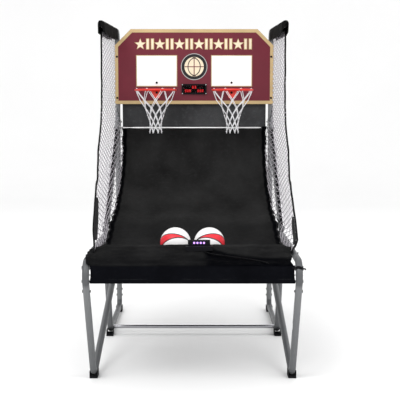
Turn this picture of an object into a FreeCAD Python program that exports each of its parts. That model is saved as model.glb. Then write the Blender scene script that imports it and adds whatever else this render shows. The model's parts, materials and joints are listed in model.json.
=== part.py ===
import FreeCAD
import Part
import math
import os

import Sketcher
from FreeCAD import Placement, Rotation, Vector

# Two-hoop folding basketball game, in millimetres.
# +X is the player's right, +Y runs from the player to the backboard, +Z is up, and the floor is Z = 0.
# The origin is on the floor in the middle of the game. A "depth" is a place along Y, a "height" is along Z.

SIZES = {
    # Steel tubes of the two side frames
    "half_width": 566,
    "main_tube": 38,
    "tube_wall": 1.5,
    "joiner_tube": 34.6,
    "rail_height": 720,
    "pivot_depth": 5,
    "pivot_clearance": 45,
    "rail_overhang": 22,
    "front_corner_depth": -1063,
    "front_bend": 80,
    "leg_joint_height": 588,
    "front_foot_depth": -695,
    "front_foot_height": 14,
    "foot_bend": 60,
    "brace_end_depth": 105,
    "brace_end_height": 440,
    "brace_inset": 44,
    "mid_foot_depth": 287,
    "floor_run_height": 33,
    "rear_bend": 50,
    "upright_depth": 1013,
    "upright_foot": 95,
    "upright_joint": 1160,
    "upright_top": 1990,
    "shoulder_height": 1425,
    "shoulder_clearance": 42,
    "arm_rear_height": 2085,
    "arm_front_depth": -75,
    "arm_front_height": 2045,
    "joint_gap": 0.5,
    "foot_joiner_drop": 9,
    "foot_joiner_length": 104,
    "splice_joiner_drop": 60,
    "splice_joiner_length": 120,
    "arm_joiner_drop": 45,
    "arm_joiner_length": 73,
    "leg_joiner_below": 50,
    "leg_joiner_above": 10,
    # Plates, bars and fasteners
    "fit_gap": 0.2,
    "seat_gap": 0.1,
    "plate_bolt_inset": 25,
    "top_bolt_inset": 33,
    "leg_bolt_drop": 28,
    "foot_bolt_low": 25,
    "foot_bolt_high": 70,
    "splice_bolt_drop": 30,
    "bolt_tail": 2,
    "bar_bolt_grip": 12,
    "front_bolt_grip": 14,
    "clip_bolt_grip": 4,
    "clip_distance": 330,
    "clip_length": 44,
    "clip_clearance": 1.5,
    "clip_wall": 3,
    "clip_drop": 62,
    "plate_thickness": 4,
    "bolt_radius": 4,
    "bolt_hole_radius": 4.3,
    "bolt_head_radius": 8,
    "bolt_head_height": 3.5,
    "pivot_radius": 5,
    "pivot_hole_radius": 5.05,
    "nut_radius": 6.5,
    "nut_height": 5,
    "front_bar_tube": 22,
    "front_bar_depth": -988,
    "front_bar_height": 691,
    "skirt_bar_tube": 16,
    "skirt_bar_depth": -998,
    "skirt_bar_height": 617,
    "lip_depth": -740,
    "lip_end_height": 726,
    "lip_height": 759,
    "lip_shoulder": 488,
    "lip_stub": 520,
    "lower_bar_tube": 25,
    "lower_bar_depth": 327,
    "lower_bar_height": 45,
    "upper_bar_tube": 16,
    "upper_bar_depth": 1002,
    "upper_bar_height": 1380,
    "cap_sole": 14,
    "cap_height": 42,
    "cap_wall": 3.5,
    "cap_length": 76,
    "cap_clearance": 0.3,
    "front_cap_shift": 24,
    "mid_cap_shift": 11,
    "rear_cap_shift": 23,
    "arm_cap_lid": 2.8,
    "arm_cap_stem": 18,
    # Fabric
    "cloth": 1.5,
    "fabric_half_width": 531,
    "net_plane": 534,
    "net_thickness": 1,
    "net_hem": 4,
    "net_corner_run": 837,
    "net_rail_end": 183,
    "net_top_run": 29,
    "net_top_drop": 40,
    "net_rear_drop": 50,
    "skirt_front": 16,
    "skirt_inset": 8,
    "cloth_gap": 1,
    "tray_front": 13,
    "lip_overlap": 10,
    "ramp_board_overlap": 35,
    "sleeve_wall": 1.5,
    "sleeve_clearance": 1,
    "sleeve_reach": 14,
    "sleeve_rear_gap": 100,
    "sleeve_drop": 46,
    "sleeve_slant_run": 40,
    "sleeve_slant_drop": 34,
    "sleeve_front_drop": 16,
    "sleeve_opening": 60,
    # Backboard and hoops
    "board_front": 980,
    "board_thickness": 12,
    "board_half_width": 582,
    "board_bottom": 1555,
    "board_top": 2100,
    "board_corner": 118,
    "board_bolt_low": 1600,
    "board_bolt_high": 1900,
    "board_head_height": 2,
    "spacer_width": 28,
    "spacer_tall": 40,
    "hoop_spacing": 550,
    "hoop_depth": 790,
    "hoop_height": 1655,
    "hoop_radius": 142.5,
    "hoop_rod": 7.5,
    "bracket_width": 78,
    "bracket_neck": 40,
    "bracket_low": 1599,
    "bracket_high": 1665,
    "bracket_plate": 4,
    "bracket_bolt": 1639,
    "sensor_bolt": 1711,
    "sensor_deep": 14,
    "sensor_width": 36,
    "sensor_tall": 30,
    "tongue_overlap": 3,
    "net_bottom": 1344,
    "net_neck": 1420,
    "net_shoulder": 1540,
    "net_waist": 1470,
    "net_shoulder_radius": 96,
    "net_waist_radius": 60,
    "net_neck_radius": 48,
    "net_bottom_radius": 54,
    # Score display and electronics
    "display_height": 1664,
    "display_width": 183,
    "display_tall": 75,
    "display_deep": 12,
    "display_border": 10,
    "display_screw_inset": 5,
    "display_hole_radius": 1.7,
    "display_screw_radius": 1.4,
    "display_head_radius": 3,
    "display_head_height": 1.2,
    "window_inset": 3,
    "window_thickness": 2,
    "circuit_thickness": 1.6,
    "circuit_lift": 1,
    "digit_width": 12,
    "digit_tall": 20,
    "digit_deep": 5,
    "digit_lift": 3,
    "digit_pitch": 16,
    "digit_group": 46,
    "digit_low": 12,
    "digit_high": 14,
    "digit_pair": 9,
    "case_width": 220,
    "case_tall": 120,
    "case_deep": 32,
    "case_wall": 2.5,
    "slot_width": 4,
    "slot_tall": 44,
    "slot_pitch": 8,
    "speaker_x": -34,
    "speaker_radius": 26,
    "speaker_deep": 12,
    "speaker_gap": 2,
    "circuit_left": -70,
    "circuit_right": 50,
    "circuit_half_tall": 40,
    "circuit_standoff": 8,
    "battery_x": 56,
    "battery_width": 48,
    "battery_deep": 20,
    "battery_tall": 56,
    "battery_drop": 50,
    "battery_gap": 2,
    "rocker_width": 13,
    "rocker_half_tall": 9.5,
    "rocker_hole_width": 15,
    "rocker_hole_tall": 22,
    "rocker_x": 80,
    "rocker_z": 1690,
    "rocker_tilt": 8,
    # Control pod
    "pod_x": 35,
    "pod_base_width": 149,
    "pod_width": 123,
    "pod_front": -790,
    "pod_back": -746,
    "pod_bottom": 776,
    "pod_top": 804,
    "pod_wall": 3,
    "pod_base_front": 38,
    "pod_base_drop": 23.5,
    "pod_base_rear": 2,
    "pod_base_edge": 3,
    "pod_front_chamfer": 5,
    "pod_rear_chamfer": 6,
    "pod_board_half": 54,
    "pod_board_inset": 8,
    "button_clearance": 0.3,
    "cable_radius": 3,
    "button_radius": 5.5,
    "button_length": 9,
    "button_travel": 1.5,
    "button_pitch": 18,
    "button_height": 792,
    # Balls
    "ball_radius": 89,
    "ball_wall": 3,
    "ball_depth": -521,
    "ball_height": 752,
    "left_ball_x": -102,
    "right_ball_x": 95,
}

SIDE, FRONT, TOP = "YZ_Plane", "XZ_Plane", "XY_Plane"
SIDES = {"left": -1, "right": 1}

doc = FreeCAD.newDocument("basketball_hoop_machine")
sheet = doc.addObject("Spreadsheet::Sheet", "dims")
for row, (alias, amount) in enumerate(SIZES.items(), start=1):
    sheet.set(f"A{row}", alias)
    sheet.set(f"B{row}", str(amount))
    sheet.setAlias(f"B{row}", alias)
doc.recompute()

sub_parts = []


class Size:
    """A length that carries its number and the spreadsheet expression it comes from."""

    def __init__(self, value, text):
        self.value = float(value)
        self.text = text

    def _with(self, other, sign, result):
        return Size(result, f"({self.text} {sign} {words(other)})")

    def __add__(self, other):
        return self._with(other, "+", self.value + number(other))

    def __sub__(self, other):
        return self._with(other, "-", self.value - number(other))

    def __mul__(self, other):
        return self._with(other, "*", self.value * number(other))

    def __truediv__(self, other):
        return self._with(other, "/", self.value / number(other))

    def __rtruediv__(self, other):
        return Size(number(other) / self.value, f"({words(other)} / {self.text})")

    def __rsub__(self, other):
        return Size(number(other) - self.value, f"({words(other)} - {self.text})")

    def __neg__(self):
        return self * -1

    __radd__ = __add__
    __rmul__ = __mul__


def number(size):
    return size.value if isinstance(size, Size) else float(size)


def words(size):
    return size.text if isinstance(size, Size) else repr(size)


def dim(alias):
    return Size(SIZES[alias], f"dims.{alias}")


def root(size):
    return Size(math.sqrt(size.value), f"sqrt({size.text})")


def toward(start, end, distance):
    """The point at a distance from start along the line to end, both as (depth, height)."""
    run, rise = end[0] - start[0], end[1] - start[1]
    share = distance / root(run * run + rise * rise)
    return start[0] + run * share, start[1] + rise * share


def bind(thing, path, size):
    if isinstance(size, Size):
        thing.setExpression(path, size.text)
    else:
        setattr(thing, path, size)


def vector(point):
    return Vector(*[number(value) for value in point])


def spot(x, point):
    """A point in space, from a place across the game and a (depth, height) pair."""
    return vector((x, *point))


# Driving places that several sub-parts share

tube_radius = dim("main_tube") / 2
bore_radius = tube_radius - dim("tube_wall")
inner_face = dim("half_width") - tube_radius
outer_face = dim("half_width") + tube_radius
plate_face = inner_face - dim("joint_gap") - dim("plate_thickness")
bar_reach = inner_face - dim("joint_gap")
pivot = (dim("pivot_depth"), dim("rail_height"))
front_corner = (dim("front_corner_depth"), dim("rail_height"))
front_foot = (dim("front_foot_depth"), dim("front_foot_height"))
mid_foot = (dim("mid_foot_depth"), dim("floor_run_height"))
shoulder = (dim("upright_depth"), dim("shoulder_height"))
brace_end = (dim("brace_end_depth"), dim("brace_end_height"))
hoop_x = dim("hoop_spacing") / 2
board_back = dim("board_front") + dim("board_thickness")

strut_bolt = toward(pivot, mid_foot, dim("pivot_clearance") + dim("plate_bolt_inset"))
incline_bolt = toward(pivot, shoulder, dim("pivot_clearance") + dim("plate_bolt_inset"))
incline_top_bolt = toward(shoulder, pivot, dim("shoulder_clearance") + dim("top_bolt_inset"))
clip_bolt = toward(pivot, mid_foot, dim("clip_distance"))
leg_line_slope = (front_foot[0] - front_corner[0]) / (front_foot[1] - front_corner[1])


def on_leg(height):
    """The point of the front leg's centre line at a height."""
    return front_corner[0] + (height - front_corner[1]) * leg_line_slope, height


leg_joint = on_leg(dim("leg_joint_height"))
leg_bolt = on_leg(dim("leg_joint_height") - dim("leg_bolt_drop"))
front_bar = (dim("front_bar_depth"), dim("front_bar_height"))
skirt_bar = (dim("skirt_bar_depth"), dim("skirt_bar_height"))
lip_end = (dim("lip_depth"), dim("lip_end_height"))
lower_bar = (dim("lower_bar_depth"), dim("lower_bar_height"))
foot_bolt_rises = (dim("foot_bolt_low"), dim("foot_bolt_high"))
foot_bolts = [(dim("upright_depth"), dim("upright_foot") + rise) for rise in foot_bolt_rises]
splice_bolt = (dim("upright_depth"), dim("upright_joint") - dim("splice_bolt_drop"))


# Sketches and PartDesign features


def keep(thing, label):
    thing.Label = label
    sub_parts.append(thing)
    return thing


def new_body(label, kept=True):
    body = doc.addObject("PartDesign::Body", label)
    return keep(body, label) if kept else body


def new_sketch(body, role, name, at=0):
    """A sketch on one of the body's own origin planes, moved along the plane's axis to a coordinate."""
    plane = [item for item in body.Origin.OriginFeatures if item.Role == role][0]
    sketch = body.newObject("Sketcher::SketchObject", f"{body.Name}_{name}")
    sketch.AttachmentSupport = [(plane, "")]
    sketch.MapMode = "FlatFace"
    shift = -1 * at if role == FRONT else at
    if isinstance(shift, Size):
        sketch.setExpression(".AttachmentOffset.Base.z", shift.text)
    return sketch


def fix_point(sketch, curve, corner, point):
    for kind, value in zip(("DistanceX", "DistanceY"), point):
        index = sketch.addConstraint(Sketcher.Constraint(kind, curve, corner, number(value)))
        if isinstance(value, Size):
            sketch.setExpression(f"Constraints[{index}]", value.text)


def fix_radius(sketch, curve, radius):
    index = sketch.addConstraint(Sketcher.Constraint("Radius", curve, number(radius)))
    if isinstance(radius, Size):
        sketch.setExpression(f"Constraints[{index}]", radius.text)


def draw_polygon(sketch, points):
    first = sketch.GeometryCount
    flat = [Vector(number(p[0]), number(p[1]), 0) for p in points]
    for start, end in zip(flat, flat[1:] + flat[:1]):
        sketch.addGeometry(Part.LineSegment(start, end))
    for index, point in enumerate(points):
        line = first + index
        following = first + (index + 1) % len(points)
        sketch.addConstraint(Sketcher.Constraint("Coincident", line, 2, following, 1))
        fix_point(sketch, line, 1, point)


def draw_circle(sketch, centre, radius):
    middle = Vector(number(centre[0]), number(centre[1]), 0)
    curve = sketch.addGeometry(Part.Circle(middle, Vector(0, 0, 1), number(radius)))
    fix_point(sketch, curve, 3, centre)
    fix_radius(sketch, curve, radius)


def bend_points(before, corner, after, radius):
    """Where a round bend of a radius leaves each leg of a corner, and the middle of its arc."""
    back, ahead = (before - corner).normalize(), (after - corner).normalize()
    half_angle = back.getAngle(ahead) / 2
    setback = radius / math.tan(half_angle)
    bisector = (back + ahead).normalize()
    centre = corner + bisector * (radius / math.sin(half_angle))
    return corner + back * setback, centre - bisector * radius, corner + ahead * setback


def draw_bent_path(sketch, points, radii):
    """Straight runs through points, with a tangent bend of a given radius at each inner point."""
    flat = [Vector(number(p[0]), number(p[1]), 0) for p in points]
    starts, ends, arcs = [flat[0]], [], []
    for index, radius in enumerate(radii, start=1):
        before, after = flat[index - 1], flat[index + 1]
        entry, middle, leave = bend_points(before, flat[index], after, number(radius))
        ends.append(entry)
        starts.append(leave)
        arcs.append(Part.Arc(entry, middle, leave))
    ends.append(flat[-1])
    lines = [sketch.addGeometry(Part.LineSegment(a, b)) for a, b in zip(starts, ends)]
    fix_point(sketch, lines[0], 1, points[0])
    fix_point(sketch, lines[-1], 2, points[-1])
    curves = [lines[0]]
    for index, (arc, radius) in enumerate(zip(arcs, radii), start=1):
        corner = sketch.addGeometry(Part.Point(flat[index]), True)
        fix_point(sketch, corner, 1, points[index])
        curve = sketch.addGeometry(arc)
        before, after = lines[index - 1], lines[index]
        sketch.addConstraint(Sketcher.Constraint("PointOnObject", corner, 1, before))
        sketch.addConstraint(Sketcher.Constraint("PointOnObject", corner, 1, after))
        for line, line_end, near in ((before, 2, ends[index - 1]), (after, 1, starts[index])):
            start_is_near = sketch.Geometry[curve].StartPoint.distanceToPoint(near) < 1e-3
            arc_end = 1 if start_is_near else 2
            sketch.addConstraint(Sketcher.Constraint("Tangent", line, line_end, curve, arc_end))
        fix_radius(sketch, curve, radius)
        curves += [curve, after]
    return curves


def draw_ring_at(sketch, spine, outer, inner=None):
    """A tube's section across the start of a spine sketch."""
    sketch.AttachmentSupport = [(spine, "Edge1")]
    sketch.MapMode = "NormalToEdge"
    for radius in (outer, inner):
        if radius is not None:
            curve = sketch.addGeometry(Part.Circle(Vector(), Vector(0, 0, 1), number(radius)))
            sketch.addConstraint(Sketcher.Constraint("Coincident", curve, 3, -1, 1))
            fix_radius(sketch, curve, radius)


def add_pad(body, sketch, length, midplane=True, reverse=False):
    pad = body.newObject("PartDesign::Pad", f"{sketch.Name}_pad")
    pad.Profile = sketch
    bind(pad, "Length", length)
    pad.Midplane = midplane
    pad.Reversed = reverse
    return pad


def add_pocket(body, sketch):
    """A cut through everything, both ways."""
    pocket = body.newObject("PartDesign::Pocket", f"{sketch.Name}_pocket")
    pocket.Profile = sketch
    pocket.Type = "ThroughAll"
    pocket.Midplane = True


def add_slot(body, sketch, length):
    """A cut of a length, half to each side of the sketch."""
    pocket = body.newObject("PartDesign::Pocket", f"{sketch.Name}_slot")
    pocket.Profile = sketch
    pocket.Midplane = True
    bind(pocket, "Length", length)


def add_pipe(body, spine, edge_count, outer, inner=None):
    section = body.newObject("Sketcher::SketchObject", f"{body.Name}_section")
    draw_ring_at(section, spine, outer, inner)
    pipe = body.newObject("PartDesign::AdditivePipe", f"{body.Name}_pipe")
    pipe.Profile = section
    pipe.Spine = (spine, [f"Edge{index + 1}" for index in range(edge_count)])
    return pipe


def bent_tube(label, role, at, points, radii, outer, wall, kept=True):
    body = new_body(label, kept)
    spine = new_sketch(body, role, "spine", at)
    curves = draw_bent_path(spine, points, radii)
    doc.recompute()
    add_pipe(body, spine, len(curves), outer, outer - wall)
    return body


def drill(body, role, places, name="holes"):
    """Clearance holes right through a body, across one of its planes. places holds ((x, y), radius)."""
    sketch = new_sketch(body, role, name)
    for centre, radius in places:
        draw_circle(sketch, centre, radius)
    doc.recompute()
    add_pocket(body, sketch)


def bolt_holes(*points):
    return [(point, dim("bolt_hole_radius")) for point in points]


def prism(label, role, at, points, length, midplane=True, reverse=False, kept=True):
    body = new_body(label, kept)
    sketch = new_sketch(body, role, "outline", at)
    draw_polygon(sketch, points)
    doc.recompute()
    add_pad(body, sketch, length, midplane, reverse)
    return body


def rectangle(left, right, low, high):
    return [(left, low), (right, low), (right, high), (left, high)]


# Part primitives and booleans

TURNS = {
    "+x": Rotation(Vector(0, 1, 0), 90),
    "-x": Rotation(Vector(0, 1, 0), -90),
    "+y": Rotation(Vector(1, 0, 0), -90),
    "-y": Rotation(Vector(1, 0, 0), 90),
    "+z": Rotation(),
}


def place(thing, point, turn=Rotation()):
    thing.Placement = Placement(vector(point), turn)
    for axis, value in zip("xyz", point):
        if isinstance(value, Size):
            thing.setExpression(f"Placement.Base.{axis}", value.text)
    return thing


def cylinder(name, start, turn, radius, length):
    thing = doc.addObject("Part::Cylinder", name)
    bind(thing, "Radius", radius)
    bind(thing, "Height", length)
    return place(thing, start, turn)


def box(name, low, extents):
    thing = doc.addObject("Part::Box", name)
    for prop, extent in zip(("Length", "Width", "Height"), extents):
        bind(thing, prop, extent)
    return place(thing, low)


def fuse(name, *things):
    joined = doc.addObject("Part::MultiFuse", name)
    joined.Shapes = list(things)
    return joined


def cut(name, base, tool):
    result = doc.addObject("Part::Cut", name)
    result.Base = base
    result.Tool = tool
    return result


def group(label, things):
    """Identical loose pieces kept as one sub-part of separate solids."""
    compound = doc.addObject("Part::Compound", label)
    compound.Links = list(things)
    return keep(compound, label)


def cross_bolt(name, side, point, shank, nut_face=None, radius=None):
    """A bolt along X with its head on the tube's outer face and a nut at nut_face, on one side frame."""
    radius = radius or dim("bolt_radius")
    inward = TURNS["-x"] if side > 0 else TURNS["+x"]
    outward = TURNS["+x"] if side > 0 else TURNS["-x"]
    seat = (side * outer_face, point[0], point[1])
    pieces = [
        cylinder(f"{name}_head", seat, outward, dim("bolt_head_radius"), dim("bolt_head_height")),
        cylinder(f"{name}_shank", seat, inward, radius, shank),
    ]
    if nut_face is not None:
        nut_seat = (side * nut_face, point[0], point[1])
        nut_size = dim("nut_radius") + radius - dim("bolt_radius")
        pieces.append(cylinder(f"{name}_nut", nut_seat, inward, nut_size, dim("nut_height")))
    return fuse(name, *pieces)


def board_bolt(name, x, z, head_seat, tail):
    """A bolt along Y, with its head at the front and a nut against the back face of what it holds."""
    seat, length = (x, head_seat, z), tail + dim("bolt_tail") - head_seat
    pieces = [
        cylinder(f"{name}_head", seat, TURNS["-y"], dim("bolt_head_radius"), dim("bolt_head_height")),
        cylinder(f"{name}_shank", seat, TURNS["+y"], dim("bolt_radius"), length),
        cylinder(f"{name}_nut", (x, tail, z), TURNS["+y"], dim("nut_radius"), dim("nut_height")),
    ]
    return fuse(name, *pieces)


def bent_solid(points, radii, radius):
    """A round bar along straight runs in space with tangent bends, for runs that leave one plane."""
    edges, start = [], points[0]
    for index, bend in enumerate(radii, start=1):
        before, after = points[index - 1], points[index + 1]
        entry, middle, leave = bend_points(before, points[index], after, bend)
        edges.append(Part.LineSegment(start, entry).toShape())
        edges.append(Part.Arc(entry, middle, leave).toShape())
        start = leave
    edges.append(Part.LineSegment(start, points[-1]).toShape())
    section = Part.Wire([Part.makeCircle(radius, points[0], points[1] - points[0])])
    return Part.Wire(edges).makePipeShell([section], True, False)


def bore(centre, radius, length):
    """A solid along X through a point, to cut a hole with."""
    return Part.makeCylinder(number(radius), length, centre - Vector(length / 2, 0, 0), Vector(1, 0, 0))


def feature(label, shape):
    thing = doc.addObject("Part::Feature", label)
    thing.Shape = shape
    thing.Placement = Placement()
    return keep(thing, label)


# Rear frame: base frames, uprights, inclined rails, arms and cross bars


def build_base_frame(label, side):
    strut_top = toward(pivot, mid_foot, dim("pivot_clearance"))
    rear_corner = (dim("upright_depth"), dim("floor_run_height"))
    riser_top = (dim("upright_depth"), dim("upright_foot"))
    points = [strut_top, mid_foot, rear_corner, riser_top]
    radii = [dim("foot_bend"), dim("rear_bend")]
    at = side * dim("half_width")
    body = bent_tube(label, SIDE, at, points, radii, tube_radius, dim("tube_wall"))
    drill(body, SIDE, bolt_holes(strut_bolt, lower_bar, clip_bolt))


def straight_tube(label, side, start, end, cross_holes, front_holes=(), kept=False):
    at = side * dim("half_width")
    body = bent_tube(label, SIDE, at, [start, end], [], tube_radius, dim("tube_wall"), kept)
    drill(body, SIDE, bolt_holes(*cross_holes))
    if front_holes:
        drill(body, FRONT, bolt_holes(*[(at, height) for height in front_holes]), "front_holes")
    return body


def build_uprights():
    depth = dim("upright_depth")
    foot, joint, top = dim("upright_foot"), dim("upright_joint"), dim("upright_top")
    gap = dim("joint_gap")
    board_holes = (dim("board_bolt_low"), dim("board_bolt_high"))
    lower, upper = [], []
    for name, side in SIDES.items():
        low_holes = foot_bolts + [splice_bolt]
        low_end, high_end = (depth, foot + gap), (depth, joint)
        lower.append(straight_tube(f"upright_low_{name}", side, low_end, high_end, low_holes))
        ends = (depth, joint + gap), (depth, top)
        upper.append(straight_tube(f"upright_high_{name}", side, *ends, [shoulder], board_holes))
    group("lower_uprights", lower)
    group("upper_uprights", upper)


def build_incline_rail(name, side):
    low = toward(pivot, shoulder, dim("pivot_clearance"))
    high = toward(shoulder, pivot, dim("shoulder_clearance"))
    straight_tube(f"incline_rail_{name}", side, low, high, [incline_bolt, incline_top_bolt], kept=True)


def build_arms():
    depth = dim("upright_depth")
    points = [
        (depth, dim("upright_top") + dim("joint_gap")),
        (depth, dim("arm_rear_height")),
        (dim("arm_front_depth"), dim("arm_front_height")),
    ]
    size = (tube_radius, dim("tube_wall"))
    arms = []
    for name, side in SIDES.items():
        at = side * dim("half_width")
        arms.append(bent_tube(f"arm_{name}", SIDE, at, points, [dim("foot_bend")], *size, kept=False))
    group("arms", arms)


def build_joiners():
    """Short tubes inside the uprights, where two tube ends meet."""
    depth, radius, hole_radius = dim("upright_depth"), dim("joiner_tube") / 2, dim("bolt_hole_radius")
    spans = [
        (dim("upright_foot") - dim("foot_joiner_drop"), dim("foot_joiner_length")),
        (dim("upright_joint") - dim("splice_joiner_drop"), dim("splice_joiner_length")),
        (dim("upright_top") - dim("arm_joiner_drop"), dim("arm_joiner_length")),
    ]
    pieces = []
    for name, side in SIDES.items():
        middle = side * dim("half_width")
        for index, (low, length) in enumerate(spans):
            end = f"{name}_{index}"
            start = (middle, depth, low)
            outside = cylinder(f"joiner_{end}", start, TURNS["+z"], radius, length)
            inside = cylinder(f"joiner_bore_{end}", start, TURNS["+z"], radius - dim("tube_wall"), length)
            tools = [inside]
            for count, hole in enumerate(foot_bolts + [splice_bolt]):
                at = (middle - tube_radius, *hole)
                name_of_hole = f"joiner_hole_{end}_{count}"
                tools.append(cylinder(name_of_hole, at, TURNS["+x"], hole_radius, dim("main_tube")))
            pieces.append(cut(f"joiner_ring_{end}", outside, fuse(f"joiner_tool_{end}", *tools)))
    group("upright_joiners", pieces)


def build_bars():
    def bar(label, centre, radius, half_length):
        body = new_body(label)
        sketch = new_sketch(body, SIDE, "section")
        draw_circle(sketch, centre, radius)
        draw_circle(sketch, centre, radius - dim("tube_wall"))
        doc.recompute()
        add_pad(body, sketch, half_length * 2)

    upper = (dim("upper_bar_depth"), dim("upper_bar_height"))
    bar("lower_crossbar", lower_bar, dim("lower_bar_tube") / 2, bar_reach)
    bar("upper_crossbar", upper, dim("upper_bar_tube") / 2, plate_face - dim("joint_gap"))
    bar("front_bar", front_bar, dim("front_bar_tube") / 2, bar_reach)
    bar("skirt_bar", skirt_bar, dim("skirt_bar_tube") / 2, bar_reach)


# Corners of the two side plates, as (depth, height) steps from the bolt each corner lies round
PIVOT_PLATE_CORNERS = [
    (pivot, [(-20, -20), (-20, 18)]),
    (incline_bolt, [(-18, 20), (16, 18), (20, -12)]),
    (strut_bolt, [(24, -8), (8, -22), (-18, -14)]),
]
SHOULDER_PLATE_CORNERS = [
    (incline_top_bolt, [(-22, -8), (-12, 16)]),
    (shoulder, [(-14, 20), (16, 20), (16, -18)]),
    (incline_top_bolt, [(14, -20)]),
]


def build_plates():
    """Inner side plates that tie the strut, inclined rail and pivot, and the inclined rail and upright."""

    def outline(corners):
        return [(point[0] + run, point[1] + rise) for point, steps in corners for run, rise in steps]

    holes = {
        "pivot_plate": [(pivot, dim("pivot_hole_radius"))] + bolt_holes(strut_bolt, incline_bolt),
        "shoulder_plate": bolt_holes(shoulder, incline_top_bolt),
    }
    corners = {"pivot_plate": PIVOT_PLATE_CORNERS, "shoulder_plate": SHOULDER_PLATE_CORNERS}
    thickness = dim("plate_thickness")
    for label in corners:
        plates = []
        for name, side in SIDES.items():
            at = side * (plate_face + thickness / 2)
            body = prism(f"{label}_{name}", SIDE, at, outline(corners[label]), thickness, kept=False)
            drill(body, SIDE, holes[label])
            plates.append(body)
        group(f"{label}s", plates)


def build_rear_bolts():
    through, tail = outer_face - inner_face, dim("bolt_tail")
    plate_shank = outer_face - plate_face + tail
    pivots, frame_bolts = [], []
    for name, side in SIDES.items():
        pivots.append(
            cross_bolt(f"pivot_bolt_{name}", side, pivot, plate_shank, plate_face, dim("pivot_radius"))
        )
        for index, point in enumerate([strut_bolt, incline_bolt, incline_top_bolt, shoulder]):
            bolt = cross_bolt(f"plate_bolt_{name}_{index}", side, point, plate_shank, plate_face)
            frame_bolts.append(bolt)
        for index, point in enumerate(foot_bolts + [splice_bolt]):
            bolt = cross_bolt(f"upright_bolt_{name}_{index}", side, point, through + tail, inner_face)
            frame_bolts.append(bolt)
        bar_shank, clip_shank = through + dim("bar_bolt_grip"), through + dim("clip_bolt_grip")
        frame_bolts.append(cross_bolt(f"bar_bolt_{name}", side, lower_bar, bar_shank))
        frame_bolts.append(cross_bolt(f"clip_bolt_{name}", side, clip_bolt, clip_shank))
    group("pivot_bolts", pivots)
    group("rear_frame_bolts", frame_bolts)


def build_saddle_clips():
    """Half-round cradles on the struts that hold the upper ends of the braces when the game stands open."""
    length, drop = number(dim("clip_length")), number(dim("clip_drop"))
    inner = number(tube_radius + dim("clip_clearance"))
    outer = inner + number(dim("clip_wall"))
    axis = (spot(0, brace_end) - spot(0, front_foot)).normalize()
    turn = Rotation(Vector(1, 0, 0), math.degrees(math.atan2(axis.z, axis.y)))
    clips = []
    for name, side in SIDES.items():
        centre = spot(side * (dim("half_width") - dim("brace_inset")), brace_end)
        hole = spot(side * bar_reach, clip_bolt)
        start = centre - axis * (length / 2)
        outside = Part.makeCylinder(outer, length, start, axis)
        ring = outside.cut(Part.makeCylinder(inner, length, start, axis))
        lower_half = Part.makeBox(2 * outer, length, outer)
        lower_half.translate(Vector(-outer, -length / 2, -outer))
        lower_half.Placement = Placement(centre, turn) * lower_half.Placement
        inner_edge = abs(centre.x) + inner
        flange = Part.makeBox(number(bar_reach) - inner_edge, length, drop)
        left_edge = inner_edge if side > 0 else -number(bar_reach)
        flange.translate(Vector(left_edge - centre.x, -length / 2, -drop))
        flange.Placement = Placement(centre, turn) * flange.Placement
        bolt_hole = bore(hole, dim("bolt_hole_radius"), length)
        clips.append(ring.common(lower_half).fuse(flange).cut(bolt_hole).removeSplitter())
    feature("saddle_clips", Part.makeCompound(clips))


def build_foot_caps():
    """U-shaped plastic feet that cradle the bends of the tubes and raise them off the floor."""
    inside = tube_radius + dim("cap_clearance")
    outside = inside + dim("cap_wall")
    sole, top = dim("cap_sole"), dim("cap_height")

    def pair(name, depth):
        body = new_body(name, kept=False)
        sketch = new_sketch(body, FRONT, "outline", depth)
        for side in SIDES.values():
            middle = side * dim("half_width")
            draw_polygon(
                sketch,
                [
                    (middle - outside, 0),
                    (middle + outside, 0),
                    (middle + outside, top),
                    (middle + inside, top),
                    (middle + inside, sole),
                    (middle - inside, sole),
                    (middle - inside, top),
                    (middle - outside, top),
                ],
            )
        doc.recompute()
        add_pad(body, sketch, dim("cap_length"))
        return body

    front = pair("front_feet", dim("front_foot_depth") + dim("front_cap_shift"))
    doc.recompute()
    cradles = front.Shape.copy()
    for side in SIDES.values():
        cradles = cradles.cut(leg_solid(side, inside))
    feature("foot_caps_front", cradles)
    mid = pair("mid_feet", dim("mid_foot_depth") - dim("mid_cap_shift"))
    rear = pair("rear_feet", dim("upright_depth") - dim("rear_cap_shift"))
    group("foot_caps_rear", [mid, rear])


def build_arm_caps():
    """Plastic plugs in the front ends of the arms."""
    depth, height = dim("arm_front_depth"), dim("arm_front_height")
    rear = spot(0, (dim("upright_depth"), dim("arm_rear_height")))
    direction = (rear - spot(0, (depth, height))).normalize()
    turn = Rotation(Vector(0, 0, 1), direction)
    out, stem_radius = dim("arm_cap_lid") + dim("fit_gap"), bore_radius - dim("fit_gap")
    plugs = []
    for name, side in SIDES.items():
        lid = (side * dim("half_width"), depth - out * direction.y, height - out * direction.z)
        head = cylinder(f"arm_cap_head_{name}", lid, turn, tube_radius, dim("arm_cap_lid"))
        stem = cylinder(f"arm_cap_stem_{name}", lid, turn, stem_radius, dim("arm_cap_stem"))
        plugs.append(fuse(f"arm_cap_{name}", head, stem))
    group("arm_caps", plugs)


# Front frame, which folds up about the pivots: side rails, legs with braces, bars, feet


def build_side_rail(name, side):
    points = [(pivot[0] + dim("rail_overhang"), pivot[1]), front_corner, leg_joint]
    at, bends = side * dim("half_width"), [dim("front_bend")]
    body = bent_tube(f"side_rail_{name}", SIDE, at, points, bends, tube_radius, dim("tube_wall"))
    holes = [(pivot, dim("pivot_hole_radius"))] + bolt_holes(front_bar, skirt_bar, lip_end)
    drill(body, SIDE, holes)


def leg_solid(side, radius):
    """Solid bar along a leg and its brace. The brace runs inward so that it passes inside the strut."""
    x, brace_x = side * dim("half_width"), side * (dim("half_width") - dim("brace_inset"))
    top = on_leg(dim("leg_joint_height") - dim("joint_gap"))
    points = [spot(x, top), spot(x, front_foot), spot(brace_x, brace_end)]
    return bent_solid(points, [number(dim("foot_bend"))], number(radius))


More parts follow.
